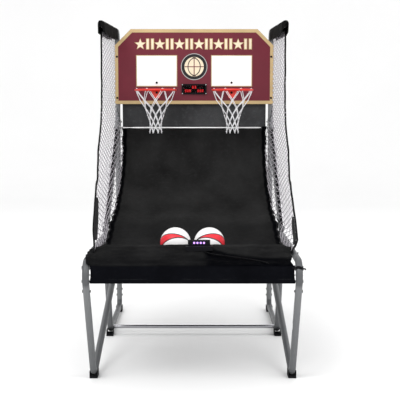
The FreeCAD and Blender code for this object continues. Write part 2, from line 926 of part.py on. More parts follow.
def build_leg(name, side):
    """Leg and brace in one V-shaped tube."""
    centre = spot(side * dim("half_width"), leg_bolt)
    hole = bore(centre, dim("bolt_hole_radius"), 2 * number(dim("main_tube")))
    tube = leg_solid(side, tube_radius).cut(leg_solid(side, bore_radius))
    feature(f"leg_{name}", tube.cut(hole))


def build_leg_joiners():
    """Short tubes inside the legs, where each meets its side rail."""
    low = on_leg(dim("leg_joint_height") - dim("leg_joiner_below"))
    high = on_leg(dim("leg_joint_height") + dim("leg_joiner_above"))
    radius = number(dim("joiner_tube")) / 2
    rings = []
    for side in SIDES.values():
        x = side * dim("half_width")
        start, run = spot(x, low), spot(x, high) - spot(x, low)
        outside = Part.makeCylinder(radius, run.Length, start, run)
        inside = Part.makeCylinder(radius - number(dim("tube_wall")), run.Length, start, run)
        hole = bore(spot(x, leg_bolt), dim("bolt_hole_radius"), 2 * number(dim("main_tube")))
        rings.append(outside.cut(inside).cut(hole))
    feature("leg_joiners", Part.makeCompound(rings))


def build_front_bolts():
    through = outer_face - inner_face
    bolts = []
    for name, side in SIDES.items():
        leg_shank, bar_shank = through + dim("bolt_tail"), through + dim("front_bolt_grip")
        bolts.append(cross_bolt(f"leg_bolt_{name}", side, leg_bolt, leg_shank, inner_face))
        for index, point in enumerate([front_bar, skirt_bar, lip_end]):
            bolts.append(cross_bolt(f"front_bolt_{name}_{index}", side, point, bar_shank))
    group("front_frame_bolts", bolts)


def build_lip_bar():
    """Bar under the tray's front edge, raised between two cranked ends."""
    low, high = lip_end, (dim("lip_depth"), dim("lip_height"))
    right = [(dim("lip_shoulder"), high), (dim("lip_stub"), low), (bar_reach, low)]
    points = [spot(-x, place_) for x, place_ in reversed(right)] + [spot(x, place_) for x, place_ in right]
    radius = number(dim("skirt_bar_tube")) / 2
    bends = [radius * 2] * 4
    outside = bent_solid(points, bends, radius)
    inside = bent_solid(points, bends, radius - number(dim("tube_wall")))
    feature("lip_bar", outside.cut(inside))


# Fabric: ball tray, front skirt, return ramp, arm sleeves and side nets


def sheet_outline(points, back, down):
    """A thin closed band: the visible side's points, then the same points moved back and down."""
    return points + [(depth + back, height + down) for depth, height in reversed(points)]


# The tray's line from front to rear, as (depth, height) steps from the lip bar and the balls' lowest
# height, from the balls' depth and lowest height, and from the pivot
TRAY_FALL_STEPS = [(50, 65), (100, 27), (160, 4)]
TRAY_RISE_STEPS = [(0, -3), (61, 1), (181, 31)]
TRAY_END_STEPS = [(-193, -4), (-155, 2)]


def build_tray_fabric():
    cloth, gap = dim("cloth"), dim("cloth_gap")
    bar_top = front_bar[1] + dim("front_bar_tube") / 2
    lip_top = dim("lip_height") + dim("skirt_bar_tube") / 2
    ball_low = dim("ball_height") - dim("ball_radius")
    lip, overlap, ball = dim("lip_depth"), dim("lip_overlap"), dim("ball_depth")
    points = [
        (front_bar[0] - dim("tray_front"), bar_top + cloth + gap * 2),
        (lip - overlap, lip_top + cloth + gap),
        (lip + overlap, lip_top + cloth + gap),
    ]
    points += [(lip + run, ball_low + rise) for run, rise in TRAY_FALL_STEPS]
    points += [(ball + run, ball_low + rise) for run, rise in TRAY_RISE_STEPS]
    points += [(pivot[0] + run, pivot[1] + rise) for run, rise in TRAY_END_STEPS]
    prism("tray_fabric", SIDE, 0, sheet_outline(points, 0, -cloth), dim("fabric_half_width") * 2)


def build_front_skirt():
    cloth, gap = dim("cloth"), dim("cloth_gap")
    top = front_bar[1] + dim("front_bar_tube") / 2 + gap
    low = skirt_bar[1] + dim("skirt_bar_tube") / 2 + gap * 2
    front = front_bar[0] - dim("skirt_front")
    outline = [(front, top), (front + cloth, top), (skirt_bar[0] + cloth, low), (skirt_bar[0], low)]
    prism("front_skirt", SIDE, 0, outline, (bar_reach - dim("skirt_inset")) * 2)


# The ramp's line from front to rear and the net's front edge from low to high, as steps from the pivot,
# and the ramp's last points as steps from the back of the upper crossbar
RAMP_STEPS = [
    (-145, 4),
    (-9, 39),
    (60, 70),
    (180, 97),
    (333, 123),
    (435, 163),
    (564, 207),
    (690, 258),
    (870, 370),
    (960, 480),
]
RAMP_TOP_STEPS = [(-6, -80), (0, 0)]
NET_FRONT_STEPS = [(-760, 83), (-537, 341), (-428, 401), (-330, 561), (-179, 676), (-13, 860), (29, 1266)]


def build_ramp_fabric():
    """Return ramp from behind the tray up to the back of the board, following the inclined rails."""
    cloth, gap = dim("cloth"), dim("cloth_gap") * 2
    points = [(pivot[0] + run, pivot[1] + rise) for run, rise in RAMP_STEPS]
    behind_bar = dim("upper_bar_depth") + dim("upper_bar_tube") / 2 + gap
    points += [(behind_bar + run, dim("upper_bar_height") + rise) for run, rise in RAMP_TOP_STEPS]
    points += [(behind_bar + gap, dim("board_bottom") + dim("ramp_board_overlap"))]
    prism("ramp_fabric", SIDE, 0, sheet_outline(points, cloth, -cloth), dim("fabric_half_width") * 2)


def arm_height(depth):
    run = dim("upright_depth") - dim("arm_front_depth")
    slope = (dim("arm_rear_height") - dim("arm_front_height")) / run
    return dim("arm_front_height") + (depth - dim("arm_front_depth")) * slope


def build_arm_sleeve(name, side):
    """Fabric sleeve over an arm, open below."""
    wall, clearance, opening = dim("sleeve_wall"), dim("sleeve_clearance"), dim("sleeve_opening")
    front = dim("arm_front_depth") - dim("sleeve_reach")
    rear = dim("upright_depth") - dim("sleeve_rear_gap")
    over = tube_radius + clearance + wall
    outer = [
        (front, arm_height(front) + over),
        (rear, arm_height(rear) + over),
        (rear, arm_height(rear) - dim("sleeve_drop")),
        (front + dim("sleeve_slant_run"), arm_height(front) - dim("sleeve_slant_drop")),
        (front, arm_height(front) - dim("sleeve_front_drop")),
    ]
    inner = [
        (front + wall, arm_height(front) + over - wall),
        (rear + clearance, arm_height(rear) + over - wall),
        (rear + clearance, arm_height(rear) - opening),
        (front + wall, arm_height(front) - opening),
    ]
    at = side * dim("half_width")
    body = prism(f"arm_sleeve_{name}", SIDE, at, outer, over * 2, kept=False)
    sketch = new_sketch(body, SIDE, "hollow", at)
    draw_polygon(sketch, inner)
    doc.recompute()
    add_slot(body, sketch, (tube_radius + clearance) * 2)
    return body


def build_side_net(name, side):
    """Side net as a thin flat panel inside the tubes, from the arm down to the rail and the ramp's edge."""
    depth, rail, hem = *pivot, dim("net_hem")
    rail_top, top_depth = rail + tube_radius + hem, depth + dim("net_top_run")
    rear = dim("board_front") - hem
    points = [(depth - dim("net_corner_run"), rail_top)]
    points += [(depth + run, rail + rise) for run, rise in NET_FRONT_STEPS]
    points += [(top_depth, arm_height(top_depth) - dim("net_top_drop"))]
    points += [(rear, arm_height(rear) - dim("net_rear_drop")), (rear, dim("upper_bar_height"))]
    points += [(depth + run, rail + rise + hem) for run, rise in reversed(RAMP_STEPS)]
    points += [(depth - dim("net_rail_end"), rail_top)]
    at = side * dim("net_plane")
    return prism(f"side_net_{name}", SIDE, at, points, dim("net_thickness"), kept=False)


# Backboard and hoops


def build_backboard():
    half, corner = dim("board_half_width"), dim("board_corner")
    low, high = dim("board_bottom"), dim("board_top")
    outline = [
        (-half, low),
        (half, low),
        (half, high - corner),
        (half - corner, high),
        (corner - half, high),
        (-half, high - corner),
    ]
    middle = dim("board_front") + dim("board_thickness") / 2
    body = prism("backboard", FRONT, middle, outline, dim("board_thickness"))
    holes = [((0, dim("display_height")), dim("bolt_radius") * 2)]
    for side in SIDES.values():
        for height in (dim("board_bolt_low"), dim("board_bolt_high")):
            holes.append(((side * dim("half_width"), height), dim("bolt_hole_radius")))
        for x, z in hoop_bolts(side):
            holes.append(((x, z), dim("bolt_hole_radius")))
    drill(body, FRONT, holes)


def hoop_bolts(side):
    """Places of a hoop's two bolts: one through the bracket, and one above that holds the sensor behind."""
    middle = side * hoop_x
    return [(middle, dim("bracket_bolt")), (middle, dim("sensor_bolt"))]


def build_board_fittings():
    """Shims between the board and the uprights, and every bolt through the board."""
    spacers, fixings = [], []
    upright_front, upright_back = dim("upright_depth") - tube_radius, dim("upright_depth") + tube_radius
    wide, tall, seat = dim("spacer_width"), dim("spacer_tall"), dim("board_front")
    deep = upright_front - board_back - dim("seat_gap") - dim("fit_gap")
    for name, side in SIDES.items():
        x = side * dim("half_width")
        for index, height in enumerate([dim("board_bolt_low"), dim("board_bolt_high")]):
            end = f"{name}_{index}"
            low = (x - wide / 2, board_back + dim("seat_gap"), height - tall / 2)
            block = box(f"spacer_{end}", low, (wide, deep, tall))
            hole_radius, through = dim("bolt_hole_radius"), dim("board_thickness") * 2
            hole = cylinder(f"spacer_hole_{end}", (x, seat, height), TURNS["+y"], hole_radius, through)
            spacers.append(cut(f"board_spacer_{end}", block, hole))
            head_size = (dim("bolt_head_radius"), dim("board_head_height"))
            head = cylinder(f"board_head_{end}", (x, seat, height), TURNS["-y"], *head_size)
            shank_size = (dim("bolt_radius"), upright_back - seat)
            shank = cylinder(f"board_shank_{end}", (x, seat, height), TURNS["+y"], *shank_size)
            fixings.append(fuse(f"board_bolt_{end}", head, shank))
        bracket_bolt, sensor_bolt = hoop_bolts(side)
        bracket_seat = seat - dim("bracket_plate") - dim("fit_gap")
        fixings.append(board_bolt(f"bracket_bolt_{name}", *bracket_bolt, bracket_seat, board_back))
        tail = board_back + dim("sensor_deep") + dim("fit_gap")
        fixings.append(board_bolt(f"sensor_bolt_{name}", *sensor_bolt, seat, tail))
    group("backboard_spacers", spacers)
    group("backboard_bolts", fixings)


def build_hoop(name, side):
    """Round steel rod ring welded to a bracket plate with a tapered tongue."""
    middle = side * hoop_x
    ring = doc.addObject("Part::Torus", f"hoop_ring_{name}")
    bind(ring, "Radius1", dim("hoop_radius"))
    bind(ring, "Radius2", dim("hoop_rod"))
    place(ring, (middle, dim("hoop_depth"), dim("hoop_height")))
    half, neck = dim("bracket_width") / 2, dim("bracket_neck") / 2
    thick = dim("bracket_plate")
    rear = dim("board_front") - dim("fit_gap")
    plate_outline = [
        (middle - neck, dim("bracket_low")),
        (middle + neck, dim("bracket_low")),
        (middle + half, dim("hoop_height") - dim("hoop_rod")),
        (middle + half, dim("bracket_high")),
        (middle - half, dim("bracket_high")),
        (middle - half, dim("hoop_height") - dim("hoop_rod")),
    ]
    bracket = prism(f"bracket_{name}", FRONT, rear, plate_outline, thick, midplane=False, kept=False)
    drill(bracket, FRONT, [(hoop_bolts(side)[0], dim("bolt_hole_radius"))])
    ring_back = dim("hoop_depth") + dim("hoop_radius") - dim("tongue_overlap")
    tongue_outline = [
        (middle - neck, ring_back),
        (middle + neck, ring_back),
        (middle + half, rear - thick / 2),
        (middle - half, rear - thick / 2),
    ]
    tongue = prism(f"tongue_{name}", TOP, dim("hoop_height"), tongue_outline, thick, kept=False)
    keep(fuse(f"hoop_{name}", ring, bracket, tongue), f"hoop_{name}")


def build_hoop_net(name, side):
    """Ball net as a thin open sleeve that narrows to a neck."""
    body = new_body(f"hoop_net_{name}", kept=False)
    sketch = new_sketch(body, FRONT, "profile")
    cloth, gap = dim("cloth"), dim("cloth_gap")
    profile = [
        (dim("hoop_radius") - dim("hoop_rod") - gap, dim("hoop_height") - dim("hoop_rod") - gap * 2),
        (dim("net_shoulder_radius"), dim("net_shoulder")),
        (dim("net_waist_radius"), dim("net_waist")),
        (dim("net_neck_radius"), dim("net_neck")),
        (dim("net_bottom_radius"), dim("net_bottom")),
    ]
    inner = [(radius - cloth, height) for radius, height in reversed(profile)]
    draw_polygon(sketch, profile + inner)
    doc.recompute()
    turn = body.newObject("PartDesign::Revolution", f"{body.Name}_turn")
    turn.Profile = sketch
    turn.ReferenceAxis = (sketch, ["V_Axis"])
    turn.Angle = 360
    return place(body, (side * hoop_x, dim("hoop_depth"), 0))


def build_hoop_sensors():
    """Small sensor housings behind the board, each clamped by the bolt above its hoop."""
    wide, tall, deep = dim("sensor_width"), dim("sensor_tall"), dim("sensor_deep")
    rear, through = dim("board_front"), dim("board_thickness") + dim("sensor_deep") * 2
    pieces = []
    for name, side in SIDES.items():
        x, z = side * hoop_x, dim("sensor_bolt")
        low = (x - wide / 2, board_back + dim("seat_gap"), z - tall / 2)
        block = box(f"sensor_block_{name}", low, (wide, deep, tall))
        hole = cylinder(f"sensor_hole_{name}", (x, rear, z), TURNS["+y"], dim("bolt_hole_radius"), through)
        pieces.append(cut(f"hoop_sensor_{name}", block, hole))
    group("hoop_sensors", pieces)


# Score display on the board and electronics behind it


def build_display():
    width, tall, deep = dim("display_width") / 2, dim("display_tall") / 2, dim("display_deep")
    border, height, gap = dim("display_border"), dim("display_height"), dim("joint_gap")
    rear = dim("board_front") - dim("fit_gap")
    front = rear - deep
    frame = rectangle(-width, width, height - tall, height + tall)
    housing = prism("score_housing", FRONT, rear, frame, deep, midplane=False)
    sketch = new_sketch(housing, FRONT, "opening")
    wide_open, tall_open = width - border, tall - border
    draw_polygon(sketch, rectangle(-wide_open, wide_open, height - tall_open, height + tall_open))
    doc.recompute()
    add_pocket(housing, sketch)
    across, up = width - dim("display_screw_inset"), tall - dim("display_screw_inset")
    corners = [(x, height + z) for x in (across, -across) for z in (up, -up)]
    drill(housing, FRONT, [(corner, dim("display_hole_radius")) for corner in corners])
    wide_pane, tall_pane = wide_open - gap, tall_open - gap
    pane = rectangle(-wide_pane, wide_pane, height - tall_pane, height + tall_pane)
    window_rear = front + dim("window_inset")
    prism("score_window", FRONT, window_rear, pane, dim("window_thickness"), midplane=False)
    circuit_rear = rear - dim("circuit_lift")
    prism("score_board", FRONT, circuit_rear, pane, dim("circuit_thickness"), midplane=False)
    digit = (dim("digit_width"), dim("digit_deep"), dim("digit_tall"))
    digit_front = rear - dim("digit_lift") - digit[1]
    group_x, pitch, drop = dim("digit_group"), dim("digit_pitch"), -dim("digit_low")
    places = [(side * dim("digit_pair"), dim("digit_high")) for side in (-1, 1)]
    places += [(side * (group_x + step * pitch), drop) for side in (-1, 1) for step in (-1, 0, 1)]
    digits = []
    for index, (x, z) in enumerate(places):
        low = (x - digit[0] / 2, digit_front, height + z - digit[2] / 2)
        digits.append(box(f"digit_{index}", low, digit))
    group("score_digits", digits)
    head_size = (dim("display_head_radius"), dim("display_head_height"))
    screws = []
    for index, (x, z) in enumerate(corners):
        seat = (x, front, z)
        head = cylinder(f"display_head_{index}", seat, TURNS["-y"], *head_size)
        shank = cylinder(f"display_shank_{index}", seat, TURNS["+y"], dim("display_screw_radius"), deep)
        screws.append(fuse(f"display_screw_{index}", head, shank))
    group("score_screws", screws)


# Section of the power rocker, as (depth, height) from its pin, and the rows of slots over the speaker
ROCKER_REAR, ROCKER_FRONT, ROCKER_CREST = -4, 3, 4.5
SLOT_STEPS = (-2, -1, 0, 1, 2)


def build_electronics():
    """Case behind the board with its cover, circuit board, speaker, battery holder and power switch."""
    width, tall = dim("case_width") / 2, dim("case_tall") / 2
    height, wall, deep = dim("display_height"), dim("case_wall"), dim("case_deep")
    front = board_back + dim("fit_gap")
    rear = front + deep
    outer = rectangle(-width, width, height - tall, height + tall)
    inner = rectangle(wall - width, width - wall, height - tall + wall, height + tall - wall)
    case = prism("electronics_case", FRONT, front + deep / 2, outer, deep)
    sketch = new_sketch(case, FRONT, "hollow")
    draw_polygon(sketch, inner)
    doc.recompute()
    add_pocket(case, sketch)
    cover_middle = rear + dim("seat_gap") + wall / 2
    cover = prism("electronics_cover", FRONT, cover_middle, outer, wall)
    window = new_sketch(cover, FRONT, "openings")
    x, z = dim("rocker_x"), dim("rocker_z")
    hole_x, hole_z = dim("rocker_hole_width") / 2, dim("rocker_hole_tall") / 2
    draw_polygon(window, rectangle(x - hole_x, x + hole_x, z - hole_z, z + hole_z))
    slot_x, slot_z = dim("slot_width") / 2, dim("slot_tall") / 2
    for step in SLOT_STEPS:
        middle = dim("speaker_x") + dim("slot_pitch") * step
        draw_polygon(window, rectangle(middle - slot_x, middle + slot_x, height - slot_z, height + slot_z))
    doc.recompute()
    add_pocket(cover, window)
    half = dim("circuit_half_tall")
    board = rectangle(dim("circuit_left"), dim("circuit_right"), height - half, height + half)
    board_at = board_back + dim("circuit_standoff")
    prism("control_board", FRONT, board_at, board, dim("circuit_thickness"))
    speaker_at = (dim("speaker_x"), rear - dim("speaker_deep") - dim("speaker_gap"), height)
    speaker = cylinder("speaker", speaker_at, TURNS["+y"], dim("speaker_radius"), dim("speaker_deep"))
    keep(speaker, "speaker")
    battery_low = (dim("battery_x"), front + dim("battery_gap"), height - dim("battery_drop"))
    battery_size = (dim("battery_width"), dim("battery_deep"), dim("battery_tall"))
    keep(box("battery_holder", battery_low, battery_size), "battery_holder")
    body = new_body("power_rocker")
    sketch = new_sketch(body, SIDE, "outline")
    end = dim("rocker_half_tall")
    section = [(ROCKER_REAR, -end), (ROCKER_FRONT, -end), (ROCKER_CREST, 0)]
    section += [(ROCKER_FRONT, end), (ROCKER_REAR, end)]
    draw_polygon(sketch, section)
    doc.recompute()
    add_pad(body, sketch, dim("rocker_width"))
    place(body, (x, cover_middle, z), Rotation(Vector(1, 0, 0), number(dim("rocker_tilt"))))


# Control pod


def build_pod():
    middle, base_width, width = dim("pod_x"), dim("pod_base_width"), dim("pod_width")
    front, back, low, high = dim("pod_front"), dim("pod_back"), dim("pod_bottom"), dim("pod_top")
    wall, chamfer, rear_chamfer = dim("pod_wall"), dim("pod_front_chamfer"), dim("pod_rear_chamfer")
    base_front, base_rear = front - dim("pod_base_front"), back + dim("pod_base_rear")
    base = [
        (base_front, low - dim("pod_base_drop")),
        (base_rear, low - dim("pod_base_edge")),
        (base_rear, low),
        (base_front, low),
    ]
    prism("pod_base", SIDE, middle, base, base_width)
    seat = low + dim("fit_gap")
    cover = [
        (front, seat),
        (front, high - chamfer),
        (front + chamfer, high),
        (back - rear_chamfer, high),
        (back, high - rear_chamfer),
        (back, seat),
    ]
    body = prism("pod_cover", SIDE, middle, cover, width)
    inner_chamfer, below = wall / 2, low - wall
    hollow = [
        (front + wall, below),
        (front + wall, high - chamfer - inner_chamfer),
        (front + chamfer + inner_chamfer, high - wall),
        (back - rear_chamfer - inner_chamfer, high - wall),
        (back - wall, high - rear_chamfer - inner_chamfer),
        (back - wall, below),
    ]
    sketch = new_sketch(body, SIDE, "hollow", middle)
    draw_polygon(sketch, hollow)
    doc.recompute()
    add_slot(body, sketch, width - wall * 2)
    places = [middle + dim("button_pitch") * step for step in (-1.5, -0.5, 0.5, 1.5)]
    holes = new_sketch(body, FRONT, "button_holes", front + wall / 2)
    for x in places:
        draw_circle(holes, (x, dim("button_height")), dim("button_radius") + dim("button_clearance"))
    doc.recompute()
    add_slot(body, holes, wall * 3)
    for index, x in enumerate(places, start=1):
        start = (x, front - wall, dim("button_height"))
        size = (dim("button_radius"), dim("button_length"))
        keep(cylinder(f"pod_button_{index}", start, TURNS["+y"], *size), f"pod_button_{index}")
    half, thick = dim("pod_board_half"), dim("circuit_thickness")
    clear = dim("button_travel") + dim("cloth_gap")
    board_middle = front - wall + dim("button_length") + clear + thick / 2
    plate = rectangle(middle - half, middle + half, low + wall, high - dim("pod_board_inset"))
    prism("pod_board", FRONT, board_middle, plate, thick)


# The cable's line over the sloping front of the tray, as (place across, depth)
CABLE_LINE = [(62, -834), (96, -862), (190, -896), (290, -930), (372, -965), (405, -992)]


def build_pod_cable():
    """Cable from the pod down the sloping front of the tray to the front bar."""
    cloth, gap, radius = dim("cloth"), dim("cloth_gap"), number(dim("cable_radius"))
    low = number(front_bar[1] + dim("front_bar_tube") / 2 + cloth + gap * 2)
    high = number(dim("lip_height") + dim("skirt_bar_tube") / 2 + cloth + gap)
    front = number(front_bar[0] - dim("tray_front"))
    rear = number(dim("lip_depth") - dim("lip_overlap"))
    clear = radius + number(gap) * 0.8
    run = []
    for x, depth in CABLE_LINE:
        share = (depth - front) / (rear - front)
        run.append(Vector(x, depth, low + share * (high - low) + clear))
    curve = Part.BSplineCurve()
    curve.interpolate(run)
    spine = Part.Wire([curve.toShape()])
    section = Part.Wire([Part.makeCircle(radius, run[0], curve.tangent(curve.FirstParameter)[0])])
    feature("pod_cable", spine.makePipeShell([section], True, True))


# Balls


def build_ball(name):
    centre = (dim(f"{name}_ball_x"), dim("ball_depth"), dim("ball_height"))
    shells = []
    for layer, radius in (("skin", dim("ball_radius")), ("air", dim("ball_radius") - dim("ball_wall"))):
        ball = doc.addObject("Part::Sphere", f"{name}_{layer}")
        bind(ball, "Radius", radius)
        shells.append(place(ball, centre))
    keep(cut(f"ball_{name}", *shells), f"ball_{name}")


for side_name, side_sign in SIDES.items():
    build_base_frame(f"base_frame_{side_name}", side_sign)
    build_incline_rail(side_name, side_sign)
    build_side_rail(side_name, side_sign)
    build_leg(side_name, side_sign)
    build_hoop(side_name, side_sign)
    build_ball(side_name)
group("arm_sleeves", [build_arm_sleeve(name, side) for name, side in SIDES.items()])
group("side_nets", [build_side_net(name, side) for name, side in SIDES.items()])
group("hoop_nets", [build_hoop_net(name, side) for name, side in SIDES.items()])
build_uprights()
build_arms()
build_joiners()
build_bars()
build_plates()
build_rear_bolts()
build_saddle_clips()
build_foot_caps()
build_arm_caps()
build_leg_joiners()
build_front_bolts()
build_lip_bar()
build_tray_fabric()
build_front_skirt()
build_ramp_fabric()
build_backboard()
build_board_fittings()
build_hoop_sensors()
build_display()
build_electronics()
build_pod()
build_pod_cable()


# Check and write

doc.recompute()
failed = [item.Name for item in doc.Objects if {"Invalid", "Error"} & set(item.State)]
bad_shapes = [item.Label for item in sub_parts if item.Shape.isNull() or not item.Shape.isValid()]
if failed or bad_shapes:
    raise RuntimeError(f"failed features {failed}, bad shapes {bad_shapes}")

os.makedirs("parts", exist_ok=True)
for item in sub_parts:
    item.Shape.exportStep(f"parts/{item.Label}.step")
    solids = len(item.Shape.Solids)
    print(f"{item.Label}: {solids} solid(s), {item.Shape.Volume / 1000:.1f} cm3")
print(len(sub_parts), "sub-parts")
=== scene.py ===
"""Looks of the folding two-hoop basketball game: fabric, nets, printed board, balls and finishes."""

import json
import math

import bpy
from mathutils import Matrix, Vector, noise


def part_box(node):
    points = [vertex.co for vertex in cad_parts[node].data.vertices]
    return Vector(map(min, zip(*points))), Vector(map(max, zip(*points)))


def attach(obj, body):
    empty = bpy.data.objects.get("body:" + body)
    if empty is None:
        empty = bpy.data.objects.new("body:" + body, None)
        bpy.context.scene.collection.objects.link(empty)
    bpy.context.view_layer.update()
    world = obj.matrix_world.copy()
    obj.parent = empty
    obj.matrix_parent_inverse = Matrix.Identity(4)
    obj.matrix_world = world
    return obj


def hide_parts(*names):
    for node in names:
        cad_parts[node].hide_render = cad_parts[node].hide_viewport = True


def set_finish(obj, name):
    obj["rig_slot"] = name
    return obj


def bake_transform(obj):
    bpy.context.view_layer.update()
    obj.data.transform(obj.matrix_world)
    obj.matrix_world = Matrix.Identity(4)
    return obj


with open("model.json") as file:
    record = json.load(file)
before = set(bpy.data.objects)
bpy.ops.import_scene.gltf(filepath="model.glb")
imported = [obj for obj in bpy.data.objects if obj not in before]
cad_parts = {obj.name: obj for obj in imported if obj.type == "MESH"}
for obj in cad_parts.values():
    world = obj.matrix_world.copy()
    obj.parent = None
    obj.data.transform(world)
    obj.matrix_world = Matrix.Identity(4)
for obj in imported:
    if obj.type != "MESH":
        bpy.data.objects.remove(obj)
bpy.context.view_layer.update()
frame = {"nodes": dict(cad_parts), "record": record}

# Places read from the frame, in metres
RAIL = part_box("side_rail_left")
TUBE_RADIUS = (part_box("incline_rail_left")[1].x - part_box("incline_rail_left")[0].x) / 2
TUBE_X = (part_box("incline_rail_right")[0].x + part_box("incline_rail_right")[1].x) / 2
NET_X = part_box("side_nets")[1].x - 0.0005
CLOTH_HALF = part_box("tray_fabric")[1].x
CLOTH = 0.0015
SIDES = {"left": -1, "right": 1}
REAR, FRONT = "rear_frame", "front_frame"
MIDDLE = Vector((0, 0, 0))


def centre(node):
    low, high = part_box(node)
    return (low + high) / 2


def ease(value):
    """Smooth step from 0 to 1."""
    share = min(max(value, 0.0), 1.0)
    return share * share * (3 - 2 * share)


def ripple(x, y, z, scale, seed=0.0):
    """Smooth repeatable noise between about -1 and 1."""
    return noise.noise(Vector((x / scale + seed, y / scale, z / scale)))


# ---------------------------------------------------------------- materials


class Finish:
    """A node material with a Principled surface and helpers that add procedural detail."""

    def __init__(self, name, colour, roughness, metallic=0.0):
        self.material = bpy.data.materials.new(name)
        self.material.use_nodes = True
        self.nodes = self.material.node_tree.nodes
        self.links = self.material.node_tree.links
        self.surface = self.nodes["Principled BSDF"]
        self.surface.inputs["Base Color"].default_value = (*colour, 1)
        self.surface.inputs["Roughness"].default_value = roughness
        self.surface.inputs["Metallic"].default_value = metallic
        self.place = self.nodes.new("ShaderNodeTexCoord")
        self.colour = colour
        self.height = None

    def add(self, kind, **values):
        node = self.nodes.new(kind)
        for key, value in values.items():
            if key in node.inputs:
                node.inputs[key].default_value = value
            else:
                setattr(node, key, value)
        return node

    def stretched(self, scale):
        mapping = self.add("ShaderNodeMapping")
        mapping.inputs["Scale"].default_value = scale
        self.links.new(self.place.outputs["Object"], mapping.inputs["Vector"])
        return mapping.outputs["Vector"]

    def noise(self, scale, detail=4.0, stretch=(1, 1, 1)):
        node = self.add("ShaderNodeTexNoise", Scale=scale, Detail=detail)
        self.links.new(self.stretched(stretch), node.inputs["Vector"])
        return node.outputs["Fac"]

    def cells(self, scale):
        node = self.add("ShaderNodeTexVoronoi", Scale=scale)
        self.links.new(self.place.outputs["Object"], node.inputs["Vector"])
        return node.outputs["Distance"]

    def waves(self, scale, direction, distortion=0.0, kind="BANDS"):
        node = self.add("ShaderNodeTexWave", Scale=scale, Distortion=distortion)
        node.wave_type = kind
        node.bands_direction = direction
        self.links.new(self.place.outputs["Object"], node.inputs["Vector"])
        return node.outputs["Fac"]

    def ramp(self, factor, low, high, start=0.0, end=1.0):
        """Maps a factor to a range of numbers or of colours."""
        node = self.add("ShaderNodeValToRGB")
        as_colour = lambda c: (*c, 1) if isinstance(c, tuple) else (c, c, c, 1)
        node.color_ramp.elements[0].position = start
        node.color_ramp.elements[1].position = end
        node.color_ramp.elements[0].color = as_colour(low)
        node.color_ramp.elements[1].color = as_colour(high)
        self.links.new(factor, node.inputs["Fac"])
        return node.outputs["Color"]

    def mix(self, factor, first, second):
        node = self.add("ShaderNodeMix", data_type="RGBA")
        self.links.new(factor, node.inputs[0])
        for socket, value in ((node.inputs[6], first), (node.inputs[7], second)):
            if isinstance(value, tuple):
                socket.default_value = (*value, 1)
            else:
                self.links.new(value, socket)
        return node.outputs[2]

    def maths(self, operation, first, second):
        node = self.add("ShaderNodeMath", operation=operation)
        for socket, value in ((node.inputs[0], first), (node.inputs[1], second)):
            if isinstance(value, (int, float)):
                socket.default_value = value
            else:
                self.links.new(value, socket)
        return node.outputs[0]

    def bump(self, factor, distance, strength=0.5):
        node = self.add("ShaderNodeBump", Distance=distance, Strength=strength)
        self.links.new(factor, node.inputs["Height"])
        if self.height is not None:
            self.links.new(self.height, node.inputs["Normal"])
        self.height = node.outputs["Normal"]
        self.links.new(self.height, self.surface.inputs["Normal"])

    def paint(self, output):
        self.links.new(output, self.surface.inputs["Base Color"])

    def gloss(self, output):
        self.links.new(output, self.surface.inputs["Roughness"])

    def edges(self, low=0.5, high=0.6):
        """1 along worn convex edges, 0 elsewhere."""
        geometry = self.add("ShaderNodeNewGeometry")
        return self.ramp(geometry.outputs["Pointiness"], 0.0, 1.0, low, high)


def tinted(colour, factor):
    return tuple(min(channel * factor, 1.0) for channel in colour)


def mottled(finish, scale, spread, stretch=(1, 1, 1)):
    """Slow light and dark variation of the finish's own colour."""
    dark, light = tinted(finish.colour, 1 - spread), tinted(finish.colour, 1 + spread)
    return finish.ramp(finish.noise(scale, 5.0, stretch), dark, light, 0.3, 0.7)


def make_metal(name, colour, roughness, metallic, worn, spread=0.08, speckle=900):
    """Painted, plated or oxidised steel with an orange-peel skin and wear along its edges."""
    finish = Finish(name, colour, roughness, metallic)
    body = mottled(finish, 9, spread)
    scuffs = finish.ramp(finish.noise(60, 6.0, (1, 1, 0.12)), 0.0, 1.0, 0.66, 0.72)
    wear = finish.maths("MAXIMUM", finish.edges(0.53, 0.6), finish.maths("MULTIPLY", scuffs, 0.35))
    finish.paint(finish.mix(wear, body, worn))
    finish.gloss(finish.ramp(finish.noise(25), roughness * 0.85, min(roughness * 1.25, 1.0), 0.3, 0.7))
    finish.bump(finish.noise(speckle, 2.0), 0.0002, 0.25)
    finish.bump(scuffs, 0.0002, 0.15)
    return finish.material


def make_plastic(name, colour, roughness=0.5):
    """Moulded plastic with a fine spark-eroded grain and paler rubbed edges."""
    finish = Finish(name, colour, roughness)
    finish.paint(finish.mix(finish.edges(), mottled(finish, 14, 0.2), tinted(colour, 2.2)))
    finish.gloss(finish.ramp(finish.noise(40), roughness * 0.85, roughness * 1.2, 0.3, 0.7))
    finish.surface.inputs["Specular IOR Level"].default_value = 0.06
    finish.bump(finish.cells(1400), 0.00015, 0.4)
    return finish.material


